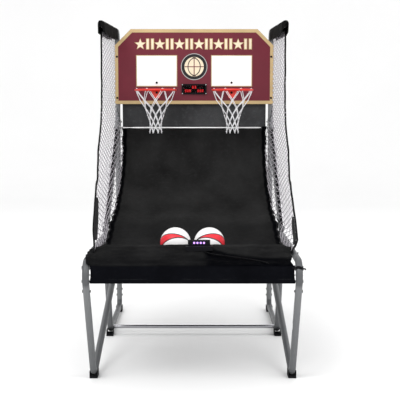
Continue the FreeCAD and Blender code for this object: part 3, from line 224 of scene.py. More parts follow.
def make_fabric(name, colour, sheen=0.25, spread=0.35, thread=820, deep=None):
    """Woven nylon: two crossing thread sets, slubs, dusty patches and a soft sheen."""
    finish = Finish(name, colour, 0.82)
    finish.surface.inputs["Sheen Weight"].default_value = sheen
    finish.surface.inputs["Sheen Roughness"].default_value = 0.45
    finish.surface.inputs["Specular IOR Level"].default_value = 0.015
    warp = finish.waves(thread, "X", 0.4)
    weft = finish.waves(thread, "Z", 0.4)
    slant = finish.waves(thread, "Y", 0.4)
    weave = finish.maths("MULTIPLY", warp, finish.maths("MAXIMUM", weft, slant))
    patches = mottled(finish, 5, spread, (1, 0.6, 0.6))
    dust = finish.ramp(finish.noise(38, 8.0), 0.0, 0.35, 0.52, 0.75)
    lit = finish.mix(dust, patches, tinted(colour, 2.0))
    cloth = finish.mix(finish.ramp(weave, 0.0, 0.5, 0.2, 0.9), lit, tinted(colour, 0.55))
    # Painted shade: the deep_shade attribute darkens the cloth towards the deep colour and takes its sheen away.
    if deep:
        shade = finish.add("ShaderNodeAttribute", attribute_name="deep_shade").outputs["Fac"]
        cloth = finish.mix(shade, cloth, deep)
        finish.links.new(finish.ramp(shade, sheen, 0.0), finish.surface.inputs["Sheen Weight"])
    finish.paint(cloth)
    finish.gloss(finish.ramp(finish.noise(30), 0.7, 0.92, 0.3, 0.7))
    finish.bump(weave, 0.0004, 0.35)
    finish.bump(finish.noise(120, 6.0), 0.001, 0.25)
    return finish.material


def make_cord(name, colour, twist=520):
    """Twisted cord: slanting strands with painted shade in the grooves between them."""
    finish = Finish(name, colour, 0.75)
    finish.surface.inputs["Sheen Weight"].default_value = 0.2
    strands = finish.waves(twist, "DIAGONAL", 1.5)
    # Painted shade in the grooves between the strands.
    shade = finish.ramp(strands, tinted(colour, 0.72), colour, 0.1, 0.6)
    finish.paint(finish.mix(finish.ramp(finish.noise(45), 0.0, 0.4, 0.5, 0.8), shade, tinted(colour, 0.8)))
    finish.gloss(finish.ramp(finish.noise(60), 0.65, 0.85, 0.3, 0.7))
    finish.bump(strands, 0.0005, 0.5)
    return finish.material


def make_print(name, colour, roughness=0.42):
    """Ink on lacquered board: faint ink mottle, fine scratches and a slightly uneven lacquer."""
    finish = Finish(name, colour, roughness)
    finish.surface.inputs["Coat Weight"].default_value = 0.05
    finish.surface.inputs["Specular IOR Level"].default_value = 0.25
    scratches = finish.ramp(finish.noise(220, 3.0, (0.06, 1, 1)), 0.0, 0.25, 0.68, 0.75)
    finish.paint(finish.mix(scratches, mottled(finish, 7, 0.07), tinted(colour, 1.25)))
    finish.gloss(finish.ramp(finish.noise(30, 6.0), roughness * 0.8, roughness * 1.25, 0.3, 0.7))
    finish.bump(finish.noise(500, 3.0), 0.0002, 0.2)
    finish.bump(scratches, 0.0001, 0.2)
    return finish.material


def make_glow(name, colour, strength):
    """Lit plastic: emission strength that varies in small patches, with a moulded skin."""
    finish = Finish(name, colour, 0.3)
    finish.surface.inputs["Emission Color"].default_value = (*colour, 1)
    flicker = finish.ramp(finish.noise(300, 2.0), strength * 0.75, strength * 1.15, 0.3, 0.7)
    finish.links.new(flicker, finish.surface.inputs["Emission Strength"])
    finish.paint(mottled(finish, 200, 0.1))
    finish.gloss(finish.ramp(finish.noise(150), 0.25, 0.4, 0.3, 0.7))
    finish.bump(finish.noise(900), 0.0001, 0.2)
    return finish.material


def make_window():
    """Thin smoked acrylic: mostly clear, dark red, with faint smudges on its gloss."""
    finish = Finish("smoked_acrylic", (0.006, 0.001, 0.001), 0.08)
    finish.surface.inputs["Alpha"].default_value = 0.3
    finish.surface.inputs["Specular IOR Level"].default_value = 0.1
    finish.gloss(finish.ramp(finish.noise(45, 6.0), 0.05, 0.22, 0.35, 0.75))
    finish.paint(mottled(finish, 30, 0.3))
    finish.bump(finish.noise(60), 0.0001, 0.1)
    return finish.material


def make_circuit():
    """Green solder mask with the slightly raised pattern of the tracks below."""
    finish = Finish("solder_mask", (0.01, 0.09, 0.03), 0.35)
    tracks = finish.maths("MAXIMUM", finish.waves(60, "X", 6.0), finish.waves(60, "Z", 6.0))
    finish.paint(finish.ramp(tracks, (0.008, 0.07, 0.025), (0.03, 0.2, 0.07), 0.8, 0.95))
    finish.gloss(finish.ramp(finish.noise(80), 0.25, 0.45, 0.3, 0.7))
    finish.bump(tracks, 0.0002, 0.3)
    return finish.material


def make_ball_skin():
    """Pebbled rubber in white and red, with black seams; the mesh says where each colour lies."""
    white, red, seam = (0.8, 0.79, 0.79), (0.72, 0.008, 0.022), (0.012, 0.012, 0.014)
    finish = Finish("ball_skin", white, 0.5)
    panel = finish.add("ShaderNodeAttribute", attribute_name="panel").outputs["Fac"]
    groove = finish.add("ShaderNodeAttribute", attribute_name="groove").outputs["Fac"]
    skin = finish.mix(finish.ramp(panel, 0.0, 1.0, 0.45, 0.55), mottled(finish, 30, 0.03), red)
    scuffed = finish.mix(finish.ramp(finish.noise(70, 8.0), 0.0, 0.2, 0.6, 0.8), skin, (0.4, 0.38, 0.37))
    finish.paint(finish.mix(finish.ramp(groove, 0.0, 1.0, 0.35, 0.6), scuffed, seam))
    finish.gloss(finish.ramp(finish.noise(60), 0.4, 0.6, 0.3, 0.7))
    finish.bump(finish.cells(420), 0.0006, 0.5)
    return finish.material


def make_studio_floor():
    """Pale matte floor with a barely uneven tone."""
    finish = Finish("studio_floor", (0.88, 0.88, 0.88), 0.9)
    finish.paint(mottled(finish, 0.6, 0.01))
    return finish.material


SILVER = make_metal("silver_powder_coat", (0.07, 0.073, 0.077), 0.5, 0.15, (0.16, 0.165, 0.17))
ZINC = make_metal("zinc_plate", (0.5, 0.51, 0.53), 0.32, 1.0, (0.75, 0.75, 0.75), 0.15)
CHROME = make_metal("dark_chrome", (0.16, 0.16, 0.17), 0.2, 1.0, (0.4, 0.4, 0.42), 0.1)
BLACK_STEEL = make_metal("black_oxide", (0.012, 0.012, 0.013), 0.45, 0.6, (0.12, 0.12, 0.12), 0.25)
RED_STEEL = make_metal("red_powder_coat", (0.7, 0.017, 0.009), 0.32, 0.0, (0.8, 0.05, 0.03), 0.08)
PLASTIC = make_plastic("black_plastic", (0.003, 0.003, 0.0036), 0.6)
FABRIC = make_fabric("black_nylon", (0.0085, 0.0085, 0.0085), 0.05)
# Its deep colour is the painted shade laid on by the sheet's deep_shade attribute.
SHEET_FABRIC = make_fabric("sheet_nylon", (0.016, 0.016, 0.016), 0.02, 0.42, deep=(0.0004, 0.0005, 0.0011))
SKIRT_FABRIC = make_fabric("blue_black_nylon", (0.0028, 0.003, 0.0042), 0.0)
PANEL_FABRIC = make_fabric("back_panel_nylon", (0.05, 0.051, 0.053), 0.1)
SLEEVE_FABRIC = make_fabric("sleeve_nylon", (0.006, 0.006, 0.0062), 0.0)
BINDING = make_fabric("black_binding", (0.006, 0.006, 0.007), 0.1, 0.3, 1400)
THREAD = make_cord("black_thread", (0.02, 0.02, 0.022), 1500)
ELASTIC = make_cord("black_elastic", (0.008, 0.008, 0.009), 900)
# Net cord painted grey-purple instead of white: painted shade of the white cords' shadowed sides.
SHADE_PAINTED_NET_CORD = make_cord("net_cord_painted_shade", (0.46, 0.43, 0.475))
NET_TAPE = make_cord("white_net_tape", (0.8, 0.79, 0.81), 260)
HOOP_CORD = make_cord("hoop_cord", (0.88, 0.88, 0.9), 380)
MAROON = make_print("maroon_ink", (0.135, 0.012, 0.024))
TAN = make_print("tan_ink", (0.52, 0.38, 0.19))
CREAM = make_print("cream_ink", (0.8, 0.68, 0.5))
WHITE_INK = make_print("white_ink", (0.92, 0.92, 0.92))
SILVER_INK = make_print("silver_ink", (0.42, 0.41, 0.4))
BLACK_INK = make_print("black_ink", (0.01, 0.01, 0.011))
LABEL = make_print("blank_label", (0.88, 0.88, 0.88), 0.5)
LED = make_glow("red_segments", (0.8, 0.008, 0.012), 0.75)
VIOLET = make_glow("violet_cap", (0.55, 0.3, 1.0), 1.1)
WINDOW = make_window()
CIRCUIT = make_circuit()
BALL_SKIN = make_ball_skin()

SLOT_FINISH = {
    "tube_steel": SILVER,
    "zinc_steel": ZINC,
    "dark_chrome": CHROME,
    "black_steel": BLACK_STEEL,
    "black_plastic": PLASTIC,
    "black_fabric": FABRIC,
    "white_net": SHADE_PAINTED_NET_CORD,
    "board_print": MAROON,
    "red_steel": RED_STEEL,
    "circuit": CIRCUIT,
    "red_led": LED,
    "smoked_window": WINDOW,
    "button_glow": VIOLET,
    "ball_skin": BALL_SKIN,
}


NODE_FINISH = {"score_board": PLASTIC, "backboard_bolts": PLASTIC, "pod_cable": PLASTIC}


def finish_cad_nodes():
    """Gives each carried-over CAD node the finish of its material slot."""
    slots = {part["node"]: part["material_slot"] for part in frame["record"]["subparts"]}
    for name, node in frame["nodes"].items():
        node.data.materials.clear()
        node.data.materials.append(NODE_FINISH.get(name, SLOT_FINISH[slots[name]]))


# ---------------------------------------------------------------- mesh helpers


def mesh_piece(name, vertices, faces, material, body=None, slot="black_fabric", smooth=True):
    mesh = bpy.data.meshes.new(name)
    mesh.from_pydata([tuple(v) for v in vertices], [], faces)
    mesh.polygons.foreach_set("use_smooth", [smooth] * len(mesh.polygons))
    mesh.materials.append(material)
    mesh.update()
    piece = bpy.data.objects.new(name, mesh)
    bpy.context.scene.collection.objects.link(piece)
    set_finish(piece, slot)
    if body:
        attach(piece, body)
    return piece


def grid_piece(name, rows, material, body=None, slot="black_fabric", thickness=CLOTH, rounds=1):
    """A sheet through a grid of points, thickened to one side and smoothed."""
    width = len(rows[0])
    vertices = [point for row in rows for point in row]
    faces = [
        (r * width + c, r * width + c + 1, (r + 1) * width + c + 1, (r + 1) * width + c)
        for r in range(len(rows) - 1)
        for c in range(width - 1)
    ]
    piece = mesh_piece(name, vertices, faces, material, body, slot)
    if thickness:
        shell = piece.modifiers.new("thickness", "SOLIDIFY")
        shell.thickness = thickness
        shell.offset = -1
    if rounds:
        piece.modifiers.new("smooth", "SUBSURF").levels = rounds
        piece.modifiers["smooth"].render_levels = rounds
    return piece


def curve_through(points, step):
    """Points at about an even step along a smooth curve through the given ones."""
    ends = [points[0] * 2 - points[1], *points, points[-1] * 2 - points[-2]]
    result = []
    for a, b, c, d in zip(ends, ends[1:], ends[2:], ends[3:]):
        count = max(1, round((c - b).length / step))
        for index in range(count):
            t = index / count
            result.append(
                0.5 * (2 * b + (c - a) * t + (2 * a - 5 * b + 4 * c - d) * t**2 + (3 * b - a - 3 * c + d) * t**3)
            )
    return result + [points[-1]]


def sweep(paths, wide, thick, flat, sides=6, taper=False):
    """Vertices and faces of closed tubes with an oval section along each path; flat is the thin direction."""
    vertices, faces = [], []
    flat = Vector(flat).normalized()
    for path in paths:
        base = len(vertices)
        last = len(path) - 1
        for index, point in enumerate(path):
            along = (path[min(index + 1, last)] - path[max(index - 1, 0)]).normalized()
            across = along.cross(flat)
            if across.length < 0.05:
                across = along.cross(Vector((0.31, 0.52, 0.79)))
            across.normalize()
            thin = across.cross(along).normalized()
            scale = 0.55 if taper and index in (0, last) else 1.0
            for side in range(sides):
                turn = math.tau * side / sides
                offset = across * (wide * math.cos(turn)) + thin * (thick * math.sin(turn))
                vertices.append(point + offset * scale)
        for index in range(last):
            for side in range(sides):
                a, b = base + index * sides + side, base + index * sides + (side + 1) % sides
                faces.append((a, b, b + sides, a + sides))
        faces.append(tuple(base + side for side in reversed(range(sides))))
        faces.append(tuple(base + last * sides + side for side in range(sides)))
    return vertices, faces


def cord_piece(name, paths, radius, material, body, slot="black_fabric", sides=6, flat=(1, 0, 0), thick=None):
    vertices, faces = sweep(paths, radius, thick or radius, flat, sides)
    return mesh_piece(name, vertices, faces, material, body, slot)


def stitches(path, length=0.004, gap=0.003):
    """Short separate stitches along a path of close points."""
    result, travelled, start = [], 0.0, path[0]
    for a, b in zip(path, path[1:]):
        travelled += (b - a).length
        if travelled >= length + gap:
            start, travelled = b, 0.0
        elif travelled >= length and start is not None:
            result.append([start, b])
            start = None
        if start is None and travelled >= length + gap:
            start, travelled = b, 0.0
    return result


def stitch_piece(name, paths, body):
    dashes = [dash for path in paths for dash in stitches(path)]
    return cord_piece(name, dashes, 0.0006, THREAD, body, sides=4)


def cad_profile(node):
    """Side profile of a thin CAD sheet: the upper edge points at its right end, from front to rear."""
    vertices = [v.co for v in frame["nodes"][node].data.vertices]
    right = max(v.x for v in vertices)
    spots = sorted({(round(v.y, 5), round(v.z, 5)) for v in vertices if v.x > right - 1e-4})
    upper = []
    for y, z in spots:
        partner = any(abs(y - a) < 2.2e-3 and 1e-3 < z - b < 2.2e-3 for a, b in spots)
        if partner:
            upper.append(Vector((0, y, z)))
    return upper


def cad_outline(node, side):
    """Ordered outline, in the side view, of a flat CAD panel's outer face."""
    mesh = frame["nodes"][node].data
    outer = max(side * v.co.x for v in mesh.vertices)
    key = lambda v: (round(v.co.y, 5), round(v.co.z, 5))
    edges = {}
    for face in mesh.polygons:
        corners = [mesh.vertices[i] for i in face.vertices]
        if all(side * v.co.x > outer - 1e-5 for v in corners):
            for a, b in zip(corners, corners[1:] + corners[:1]):
                pair = frozenset((key(a), key(b)))
                edges[pair] = edges.get(pair, 0) + 1
    border = [tuple(pair) for pair, count in edges.items() if count == 1]
    near = {}
    for a, b in border:
        near.setdefault(a, []).append(b)
        near.setdefault(b, []).append(a)
    start = min(near)
    loop, previous, here = [start], None, start
    while True:
        following = [p for p in near[here] if p != previous][0]
        if following == start:
            break
        loop.append(following)
        previous, here = here, following
    return loop


# ---------------------------------------------------------------- fabric sheets

LIP = centre("lip_bar")
LIP_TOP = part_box("lip_bar")[1].z
LIP_DROP = (LIP_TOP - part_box("lip_bar")[0].z) - 2 * 0.008
FRONT_BAR = centre("front_bar")
RAIL_Z = RAIL[1].z - TUBE_RADIUS
PIVOT = centre("pivot_bolts")
SLOPE = math.atan2(centre("shoulder_plates").z - PIVOT.z, centre("shoulder_plates").y - PIVOT.y)
CREASE = [(0.05, 0.1), (0.19, 0.41), (0.33, 0.67), (0.53, 0.7)]
TIE_STEP = 0.125
EDGE_Z = RAIL_Z - 0.024
BEND = 0.08
BEND_Y = RAIL[0].y + BEND + TUBE_RADIUS
DRAPE_LEFT = [(-0.06, 0.0), (-0.02, 0.014), (0.0, 0.032), (0.06, 0.053), (0.124, 0.057), (0.155, 0.044), (0.2, 0.054), (0.235, 0.04), (0.262, 0.034)]
DRAPE_RIGHT = [(-0.06, 0.0), (-0.03, 0.012), (-0.004, 0.036), (0.03, 0.03), (0.1, 0.014), (0.2, 0.004), (0.262, 0.004)]


def crease_share(x):
    """How far down the front slope the long fold runs at a place across the sheet."""
    for (x0, f0), (x1, f1) in zip(CREASE, CREASE[1:]):
        if x <= x1:
            return f0 + (f1 - f0) * (x - x0) / (x1 - x0)
    return CREASE[-1][1]


def slope_share(y):
    """0 at the lip bar and 1 at the front bar."""
    return (LIP.y - y) / (LIP.y - FRONT_BAR.y)


def under_fold(x, y):
    """1 below the long fold in the right half of the front slope, 0 elsewhere."""
    return ease((slope_share(y) - crease_share(x)) / 0.05 + 0.5) * ease((x - CREASE[0][0]) / 0.04)


def deep_shade(x, y):
    """How much painted shade darkens the sheet, from 0 to 1: the front slope is darker than the ramp, with a worn
    mottle and a painted highlight along its top over the lip bar, and darkest below its long fold; the ramp darkens
    along its side edges and towards its low end.
    """
    share = slope_share(y)
    if share < 0:
        # Painted shade: darker along the ramp's side edges next to the nets, and towards the ramp's low end.
        bound = 0.95 * ease((abs(x) - CLOTH_HALF + 0.032) / 0.008)
        return max(bound, 0.35 * ease((PIVOT.y + 0.25 - y) / 0.35))
    # Painted shade of the front slope, with a worn mottle mixed in.
    worn = 0.5 + 0.2 * ease((share - 0.45) / 0.4) + 0.2 * ripple(x, y * 2, 0, 0.11, 41.0)
    # Painted highlight along the ridge, where the cloth's top over the lip bar faces the light.
    worn -= 0.35 * ease((0.1 - share) / 0.05)
    # Painted shade, darkest below the long fold.
    return worn + (1 - worn) * under_fold(x, y)


def along_table(table, value):
    """Straight-line reading of a table of (place, amount) pairs."""
    for (p0, a0), (p1, a1) in zip(table, table[1:]):
        if value <= p1:
            return a0 + (a1 - a0) * max(value - p0, 0.0) / (p1 - p0)
    return table[-1][1]


def overhang(side, y):
    """How far the sheet's edge reaches past its plain width: it drapes over the rails near the lip."""
    ahead = LIP.y - y
    reach = along_table(DRAPE_LEFT if side < 0 else DRAPE_RIGHT, ahead)
    ragged = 0.22 * ripple(side, ahead, 0, 0.017, 13.0) + 0.12 * ripple(side, ahead, 0, 0.007, 14.0)
    return reach * (1 + ragged)


def rail_top(x, y):
    """Height of cloth that lies on a side rail and its downward bend; 0 away from the rail."""
    cover = TUBE_RADIUS + 0.005
    aside = abs(x) - TUBE_X
    if abs(aside) >= cover:
        return 0.0
    reach = BEND + math.sqrt(cover**2 - aside**2)
    ahead = max(0.0, BEND_Y - y)
    return RAIL_Z - BEND + math.sqrt(max(reach**2 - ahead**2, 0.0))


def sheet_offset(share_x, spot, along):
    """A point of the hanging fabric: the CAD sheet's line with sag, tie scallops, folds and wrinkles."""
    y, z = spot.y, spot.z
    share = abs(share_x)
    reach = overhang(share_x, y) + 0.008 * ease((y + 0.5) / 0.2) * ease((PIVOT.y + 0.15 - y) / 0.1)
    x = share_x * CLOTH_HALF + math.copysign(reach * max(0.0, share - 0.86) / 0.14, share_x)
    ends = ease((abs(x) - 0.475) / 0.085)
    lip_pull = ease(1 - slope_share(y)) if y < LIP.y else ease(1 - (y - LIP.y) / 0.07)
    z -= LIP_DROP * 0.5 * ends * lip_pull
    if y > LIP.y and y < PIVOT.y:
        z += max(0.0, EDGE_Z - z) * ease((abs(x) - 0.41) / 0.12) * ease((y - LIP.y) / 0.05)
    z = max(z, rail_top(x, y))
    behind = ease((y - LIP.y) / 0.3)
    ramp = ease((y - PIVOT.y) / 0.3)
    sag = 0.012 * (1 - share**2) * ramp
    z -= sag
    y += sag
    folds = 0.0045 * ripple(x * 1.4, y * 0.15, z * 0.15, 0.13, 3.0) * (0.5 + behind)
    wrinkles = 0.0022 * ripple(x, y * 0.7, z * 0.7, 0.045, 7.0) + 0.0012 * ripple(x, y, z, 0.02, 9.0)
    pinch = 0.003 * math.sin(along / TIE_STEP * math.tau) * ease((share - 0.85) / 0.15)
    corner = 0.006 * ripple(x * 1.6 + spot.y, 0, x * 0.8 - spot.y, 0.03, 11.0) * ease(reach / 0.03) * ease((share - 0.7) / 0.3)
    z += folds * (1 - 0.7 * ends * lip_pull) + wrinkles * (1.2 - 0.8 * behind) + pinch * ease(4 * behind) + abs(corner)
    y -= folds * behind
    front = slope_share(spot.y)
    if 0 < front < 1.1:
        z += 0.0035 * ripple(x, spot.y * 2.5, z, 0.085, 1.0) * ease(front * 3)
        z -= 0.006 * under_fold(x, spot.y) * ease((0.95 - front) / 0.2)
    scallop = 0.004 * (1 - math.cos(along / TIE_STEP * math.tau)) * ease((share - 0.85) / 0.15)
    return Vector((x - math.copysign(scallop, x), y, z))


def build_return_sheet():
    """Tray and ramp in one continuous sheet, from a hem over the front bar up to the upper cross bar."""
    tray, ramp = cad_profile("tray_fabric"), cad_profile("ramp_fabric")
    hem = [tray[0] + Vector((0, -0.0055, -0.0065))]
    bar = centre("upper_crossbar")
    wrap = [Vector((0, bar.y - 0.0105, bar.z - 0.004)), Vector((0, bar.y - 0.004, bar.z + 0.0105))]
    climb = [p for p in ramp if p.z < bar.z - 0.05]
    front_line = curve_through(hem + tray[:4], 0.009)
    line = front_line + curve_through(tray[3:] + climb + wrap, 0.018)[1:]
    rows, shade, along, count = [], [], 0.0, 140
    for index, spot in enumerate(line):
        along += (spot - line[index - 1]).length if index else 0.0
        rows.append([sheet_offset(2 * i / count - 1, spot, along) for i in range(count + 1)])
        # Painted shade of each point, from deep_shade, kept off the top of the lip.
        front = ease((LIP.y + 0.004 - spot.y) / 0.012) if spot.y < LIP.y + 0.01 else 1.0
        shade += [deep_shade(CLOTH_HALF * (2 * i / count - 1), spot.y) * front for i in range(count + 1)]
    sheet = grid_piece("return_sheet", rows, SHEET_FABRIC)
    sheet.data.attributes.new("deep_shade", "FLOAT", "POINT").data.foreach_set("value", shade)
    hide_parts("tray_fabric", "ramp_fabric")
    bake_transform(sheet)
    edges = [[row[i] for row in rows] for i in (0, -1)]
    return edges


def build_back_panel():
    """Lighter panel behind the board's lower edge, hanging from just below the upper cross bar, with slack diagonal
    folds.
    """
    bar = centre("upper_crossbar")
    low, high = bar.z - 0.012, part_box("ramp_fabric")[1].z
    rows, count, lines = [], 70, 16
    for step in range(lines + 1):
        z = low + (high - low) * step / lines
        row = []
        for i in range(count + 1):
            x = CLOTH_HALF * (2 * i / count - 1)
            diagonal = ripple((x + z * 0.9) * 1.0, 0, z * 0.25, 0.055, 4.0)
            slack = math.sin(math.pi * step / lines)
            row.append(Vector((x, bar.y + 0.0125 + 0.007 * diagonal * slack, z)))
        rows.append(row)
    grid_piece("back_panel", rows, PANEL_FABRIC, REAR)
    return rows


def build_skirt():
    """Front skirt hanging from the front bar, with a sewn pocket round the skirt bar."""
    low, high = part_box("front_skirt")
    bar, radius = centre("skirt_bar"), 0.0105
    front = [Vector((0, low.y + 0.001, high.z - (high.z - bar.z) * i / 10)) for i in range(10)]
    arc = [
        Vector((0, bar.y - radius * math.cos(a), bar.z - radius * math.sin(a)))
        for a in (math.radians(d) for d in range(0, 200, 24))
    ]
    rows, count = [], 90
    half = high.x + 0.007
    for index, spot in enumerate(front + arc):
        free = math.sin(math.pi * min(index / 10, 1.0))
        row = []
        for i in range(count + 1):
            x = half * (2 * i / count - 1)
            wave = 0.0035 * ripple(x, 0, spot.z * 0.3, 0.12, 5.0) + 0.0012 * ripple(x, 0, spot.z, 0.03, 6.0)
            pull = 0.005 * math.sin(math.pi * min(index / 10, 1.0)) * ease((abs(x) / half - 0.96) / 0.04)
            row.append(Vector((x - math.copysign(pull, x), spot.y - wave * free - 0.0005, spot.z)))
        rows.append(row)
    skirt = grid_piece("front_skirt_cloth", rows, SKIRT_FABRIC, FRONT)
    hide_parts("front_skirt")
    seam = [p + Vector((0, -0.001, 0)) for p in rows[9]]
    seam_two = [p + Vector((0, -0.0012, 0.004)) for p in rows[9]]
    stitch_piece("skirt_stitching", [curve_through(s, 0.0012) for s in (seam, seam_two)], FRONT)
    ties = []
    for side in SIDES.values():
        for z in (high.z - 0.018, high.z - 0.05):
            hem = Vector((side * (half - 0.006), low.y, z))
            tube = Vector((side * TUBE_X, low.y + 0.012, z - 0.004))
            ties.append(loop_round(hem, tube, Vector((0, 0.35, -0.94)), TUBE_RADIUS + 0.0015))
    cord_piece("skirt_ties", ties, 0.0015, ELASTIC, FRONT)


def loop_round(hem, centre_line, along, radius):
    """Cord path from a hem eyelet round a tube whose centre line passes through a point, and back."""
    along = along.normalized()
    toward = hem - centre_line
    toward -= along * toward.dot(along)
    toward.normalize()
    side = along.cross(toward)
    path = [hem]
    for step in range(11):
        turn = math.radians(60 + 24 * step)
        path.append(centre_line + (toward * math.cos(turn) + side * math.sin(turn)) * radius)
    return path + [hem + along * 0.002]


def build_hems(edges):
    """Bound hems along both side edges of the return sheet, with their ties to the rails."""
    hems = []
    for edge in ([p for p in edge if p.y > LIP.y + 0.03] for edge in edges):
        side = math.copysign(1, edge[0].x)
        hems.append([p + Vector((side * 0.001, 0, 0.0)) for p in curve_through(edge, 0.02)])
    hem = cord_piece("sheet_hems", hems, 0.006, BINDING, None, sides=8, flat=(0, -0.5, 0.86), thick=0.0026)
    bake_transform(hem)
    ties = []
    for edge in hems:
        side, travelled, due = math.copysign(1, edge[0].x), 0.0, TIE_STEP
        for a, b in zip(edge, edge[1:]):
            travelled += (b - a).length
            if travelled >= due and LIP.y + 0.06 < b.y < PIVOT.y - 0.15:
                tube = Vector((side * TUBE_X, b.y, RAIL_Z))
                ties.append(loop_round(b, tube, Vector((0, 1, 0)), TUBE_RADIUS + 0.0015))
            if travelled >= due:
                due += TIE_STEP
    cord_piece("tray_ties", ties, 0.0015, ELASTIC, FRONT)


def build_bend_strap():
    """Black strap knotted round the right rail's bend."""
    arc_z, arc_y = RAIL_Z - BEND, BEND_Y
    turn = math.radians(33)
    middle = Vector((TUBE_X, arc_y - 0.08 * math.cos(turn), arc_z + 0.08 * math.sin(turn)))
    outward = Vector((0, -math.cos(turn), math.sin(turn)))
    along = Vector((0, -math.sin(turn), -math.cos(turn)))
    radius = TUBE_RADIUS + 0.002
    ring = []
    for step in range(25):
        angle = math.tau * step / 24
        wobble = along * (0.002 * math.sin(3 * angle))
        ring.append(middle + outward * (radius * math.cos(angle)) + Vector((1, 0, 0)) * (radius * math.sin(angle)) + wobble)
    bands = [[p + along * shift for p in ring] for shift in (-0.004, 0.0035)]
    vertices, faces = [], []
    for band in bands:
        more, more_faces = sweep([band], 0.0045, 0.0018, along.cross(Vector((1, 0, 0))), 8)
        faces += [tuple(i + len(vertices) for i in face) for face in more_faces]
        vertices += more
    knot = middle + Vector((radius + 0.002, 0, 0))
    tails = [[knot, knot + Vector((0.007, -0.004, 0.002)), knot + Vector((0.011, -0.004, -0.004))]]
    tails += [[middle + Vector((-radius, 0, 0)), Vector((CLOTH_HALF, FRONT_BAR.y - 0.02, FRONT_BAR.z + 0.002))]]
    more, more_faces = sweep(tails, 0.004, 0.0025, (0, 1, 0), 6)
    faces += [tuple(i + len(vertices) for i in face) for face in more_faces]
    vertices += more
    mesh_piece("bend_strap", vertices, faces, BINDING, FRONT)


# ---------------------------------------------------------------- sleeves and nets

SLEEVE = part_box("arm_sleeves")
ARM_FRONT = centre("arm_caps")
ARM_REAR_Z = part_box("arms")[1].z - TUBE_RADIUS
UPRIGHT = centre("lower_uprights")


def arm_z(y):
    return ARM_FRONT.z + (ARM_REAR_Z - ARM_FRONT.z) * (y - ARM_FRONT.y) / (UPRIGHT.y - ARM_FRONT.y)


def build_sleeve(name, side):
    """Fabric sleeve over an arm: hanging sides with a loose hem, and a front drawn up to its outer top corner."""
    front, rear, lines = SLEEVE[0].y, SLEEVE[1].y - 0.06, 60
    over = TUBE_RADIUS + 0.0025
    section = [(-over, -0.058), (-over, -0.04), (-over, -0.02)]
    section += [(-over * math.cos(math.radians(a)), over * math.sin(math.radians(a))) for a in range(0, 181, 20)]
    section += [(over, -0.02), (over, -0.04), (over, -0.058)]
    rows = []
    for line in range(-6, lines + 1):
        along = max(line, 0) / lines
        y = front + (rear - front) * along + min(line, 0) * 0.0015
        gather = ease(-line / 6) if line < 0 else 0.0
        droop = 0.012 * ease(along / 0.3)
        row = []
        for x, z in section:
            hang = ease(-z / 0.05)
            sway = 0.004 * ripple(side, y, z, 0.07, 15.0) + 0.002 * ripple(side, y, z + x, 0.025, 17.0)
            hem = 0.009 * ripple(side, y, 0, 0.12, 19.0) * hang
            point = Vector((side * TUBE_X + x + sway * (0.3 + hang), y, arm_z(y) + z + hem - droop * hang + sway * 0.5))
            corner = Vector((side * (TUBE_X + 0.012), y - 0.004, arm_z(y) + 0.019))
            row.append(point.lerp(corner, gather))
        rows.append(row)
    sleeve = grid_piece(f"arm_sleeve_{name}", rows, SLEEVE_FABRIC, REAR)
    hems = [[row[i] + Vector((0, 0, 0.004)) for row in rows[7:]] for i in (0, -1)]
    outward = [[p + Vector((math.copysign(0.0012, p.x - side * TUBE_X), 0, 0)) for p in hem] for hem in hems]
    stitch_piece(f"sleeve_stitching_{name}", [curve_through(line, 0.0012) for line in outward], REAR)
    return sleeve


FRONT_CORNER = -0.8
UPPER_SPREAD = [(1.4, 0.003), (1.58, 0.011), (1.98, 0.013)]
NET_SPREAD = {
    -1: [(0.745, -0.02), (0.8, -0.012), (0.93, -0.008), (1.06, -0.006)] + UPPER_SPREAD,
    1: [(0.745, 0.014), (0.8, 0.016), (0.93, 0.009), (1.06, 0.0)] + UPPER_SPREAD,
}
SPREAD_RISE = {-1: 0.12, 1: 0.06}
GUSSET = {"left": (0.80, 1.03), "right": (0.77, 0.93)}


def rail_distance(y, z):
    """How far a point of the side view lies above the inclined rail's line."""
    return (z - PIVOT.z) * math.cos(SLOPE) - (y - PIVOT.y) * math.sin(SLOPE)


def net_x(side, y, z):
    """The net hangs just inside the rails and spreads outward above them, towards its free edge."""
    above = min(rail_distance(y, z), z - RAIL_Z - 0.02)
    inner = CLOTH_HALF - 0.006 + 0.018 * ease((above + 0.12) / 0.12)
    outer = TUBE_X + along_table(NET_SPREAD[side], z)
    return inner + (outer - inner) * ease(above / SPREAD_RISE[side]) + 0.002 * ripple(0, y, z, 0.09, 21.0)


def net_point(side, y, z, lift=0.0):
    return Vector((side * (net_x(side, y, z) + lift), y, z))


def crossings(outline, offset, slant):
    """Where the line y + slant * z = offset crosses a closed outline, as sorted values of y - slant * z."""
    found = []
    for (y0, z0), (y1, z1) in zip(outline, outline[1:] + outline[:1]):
        f0, f1 = y0 + slant * z0 - offset, y1 + slant * z1 - offset
        if (f0 < 0) != (f1 < 0):
            share = f0 / (f0 - f1)
            y, z = y0 + (y1 - y0) * share, z0 + (z1 - z0) * share
            found.append(y - slant * z)
    return sorted(found)


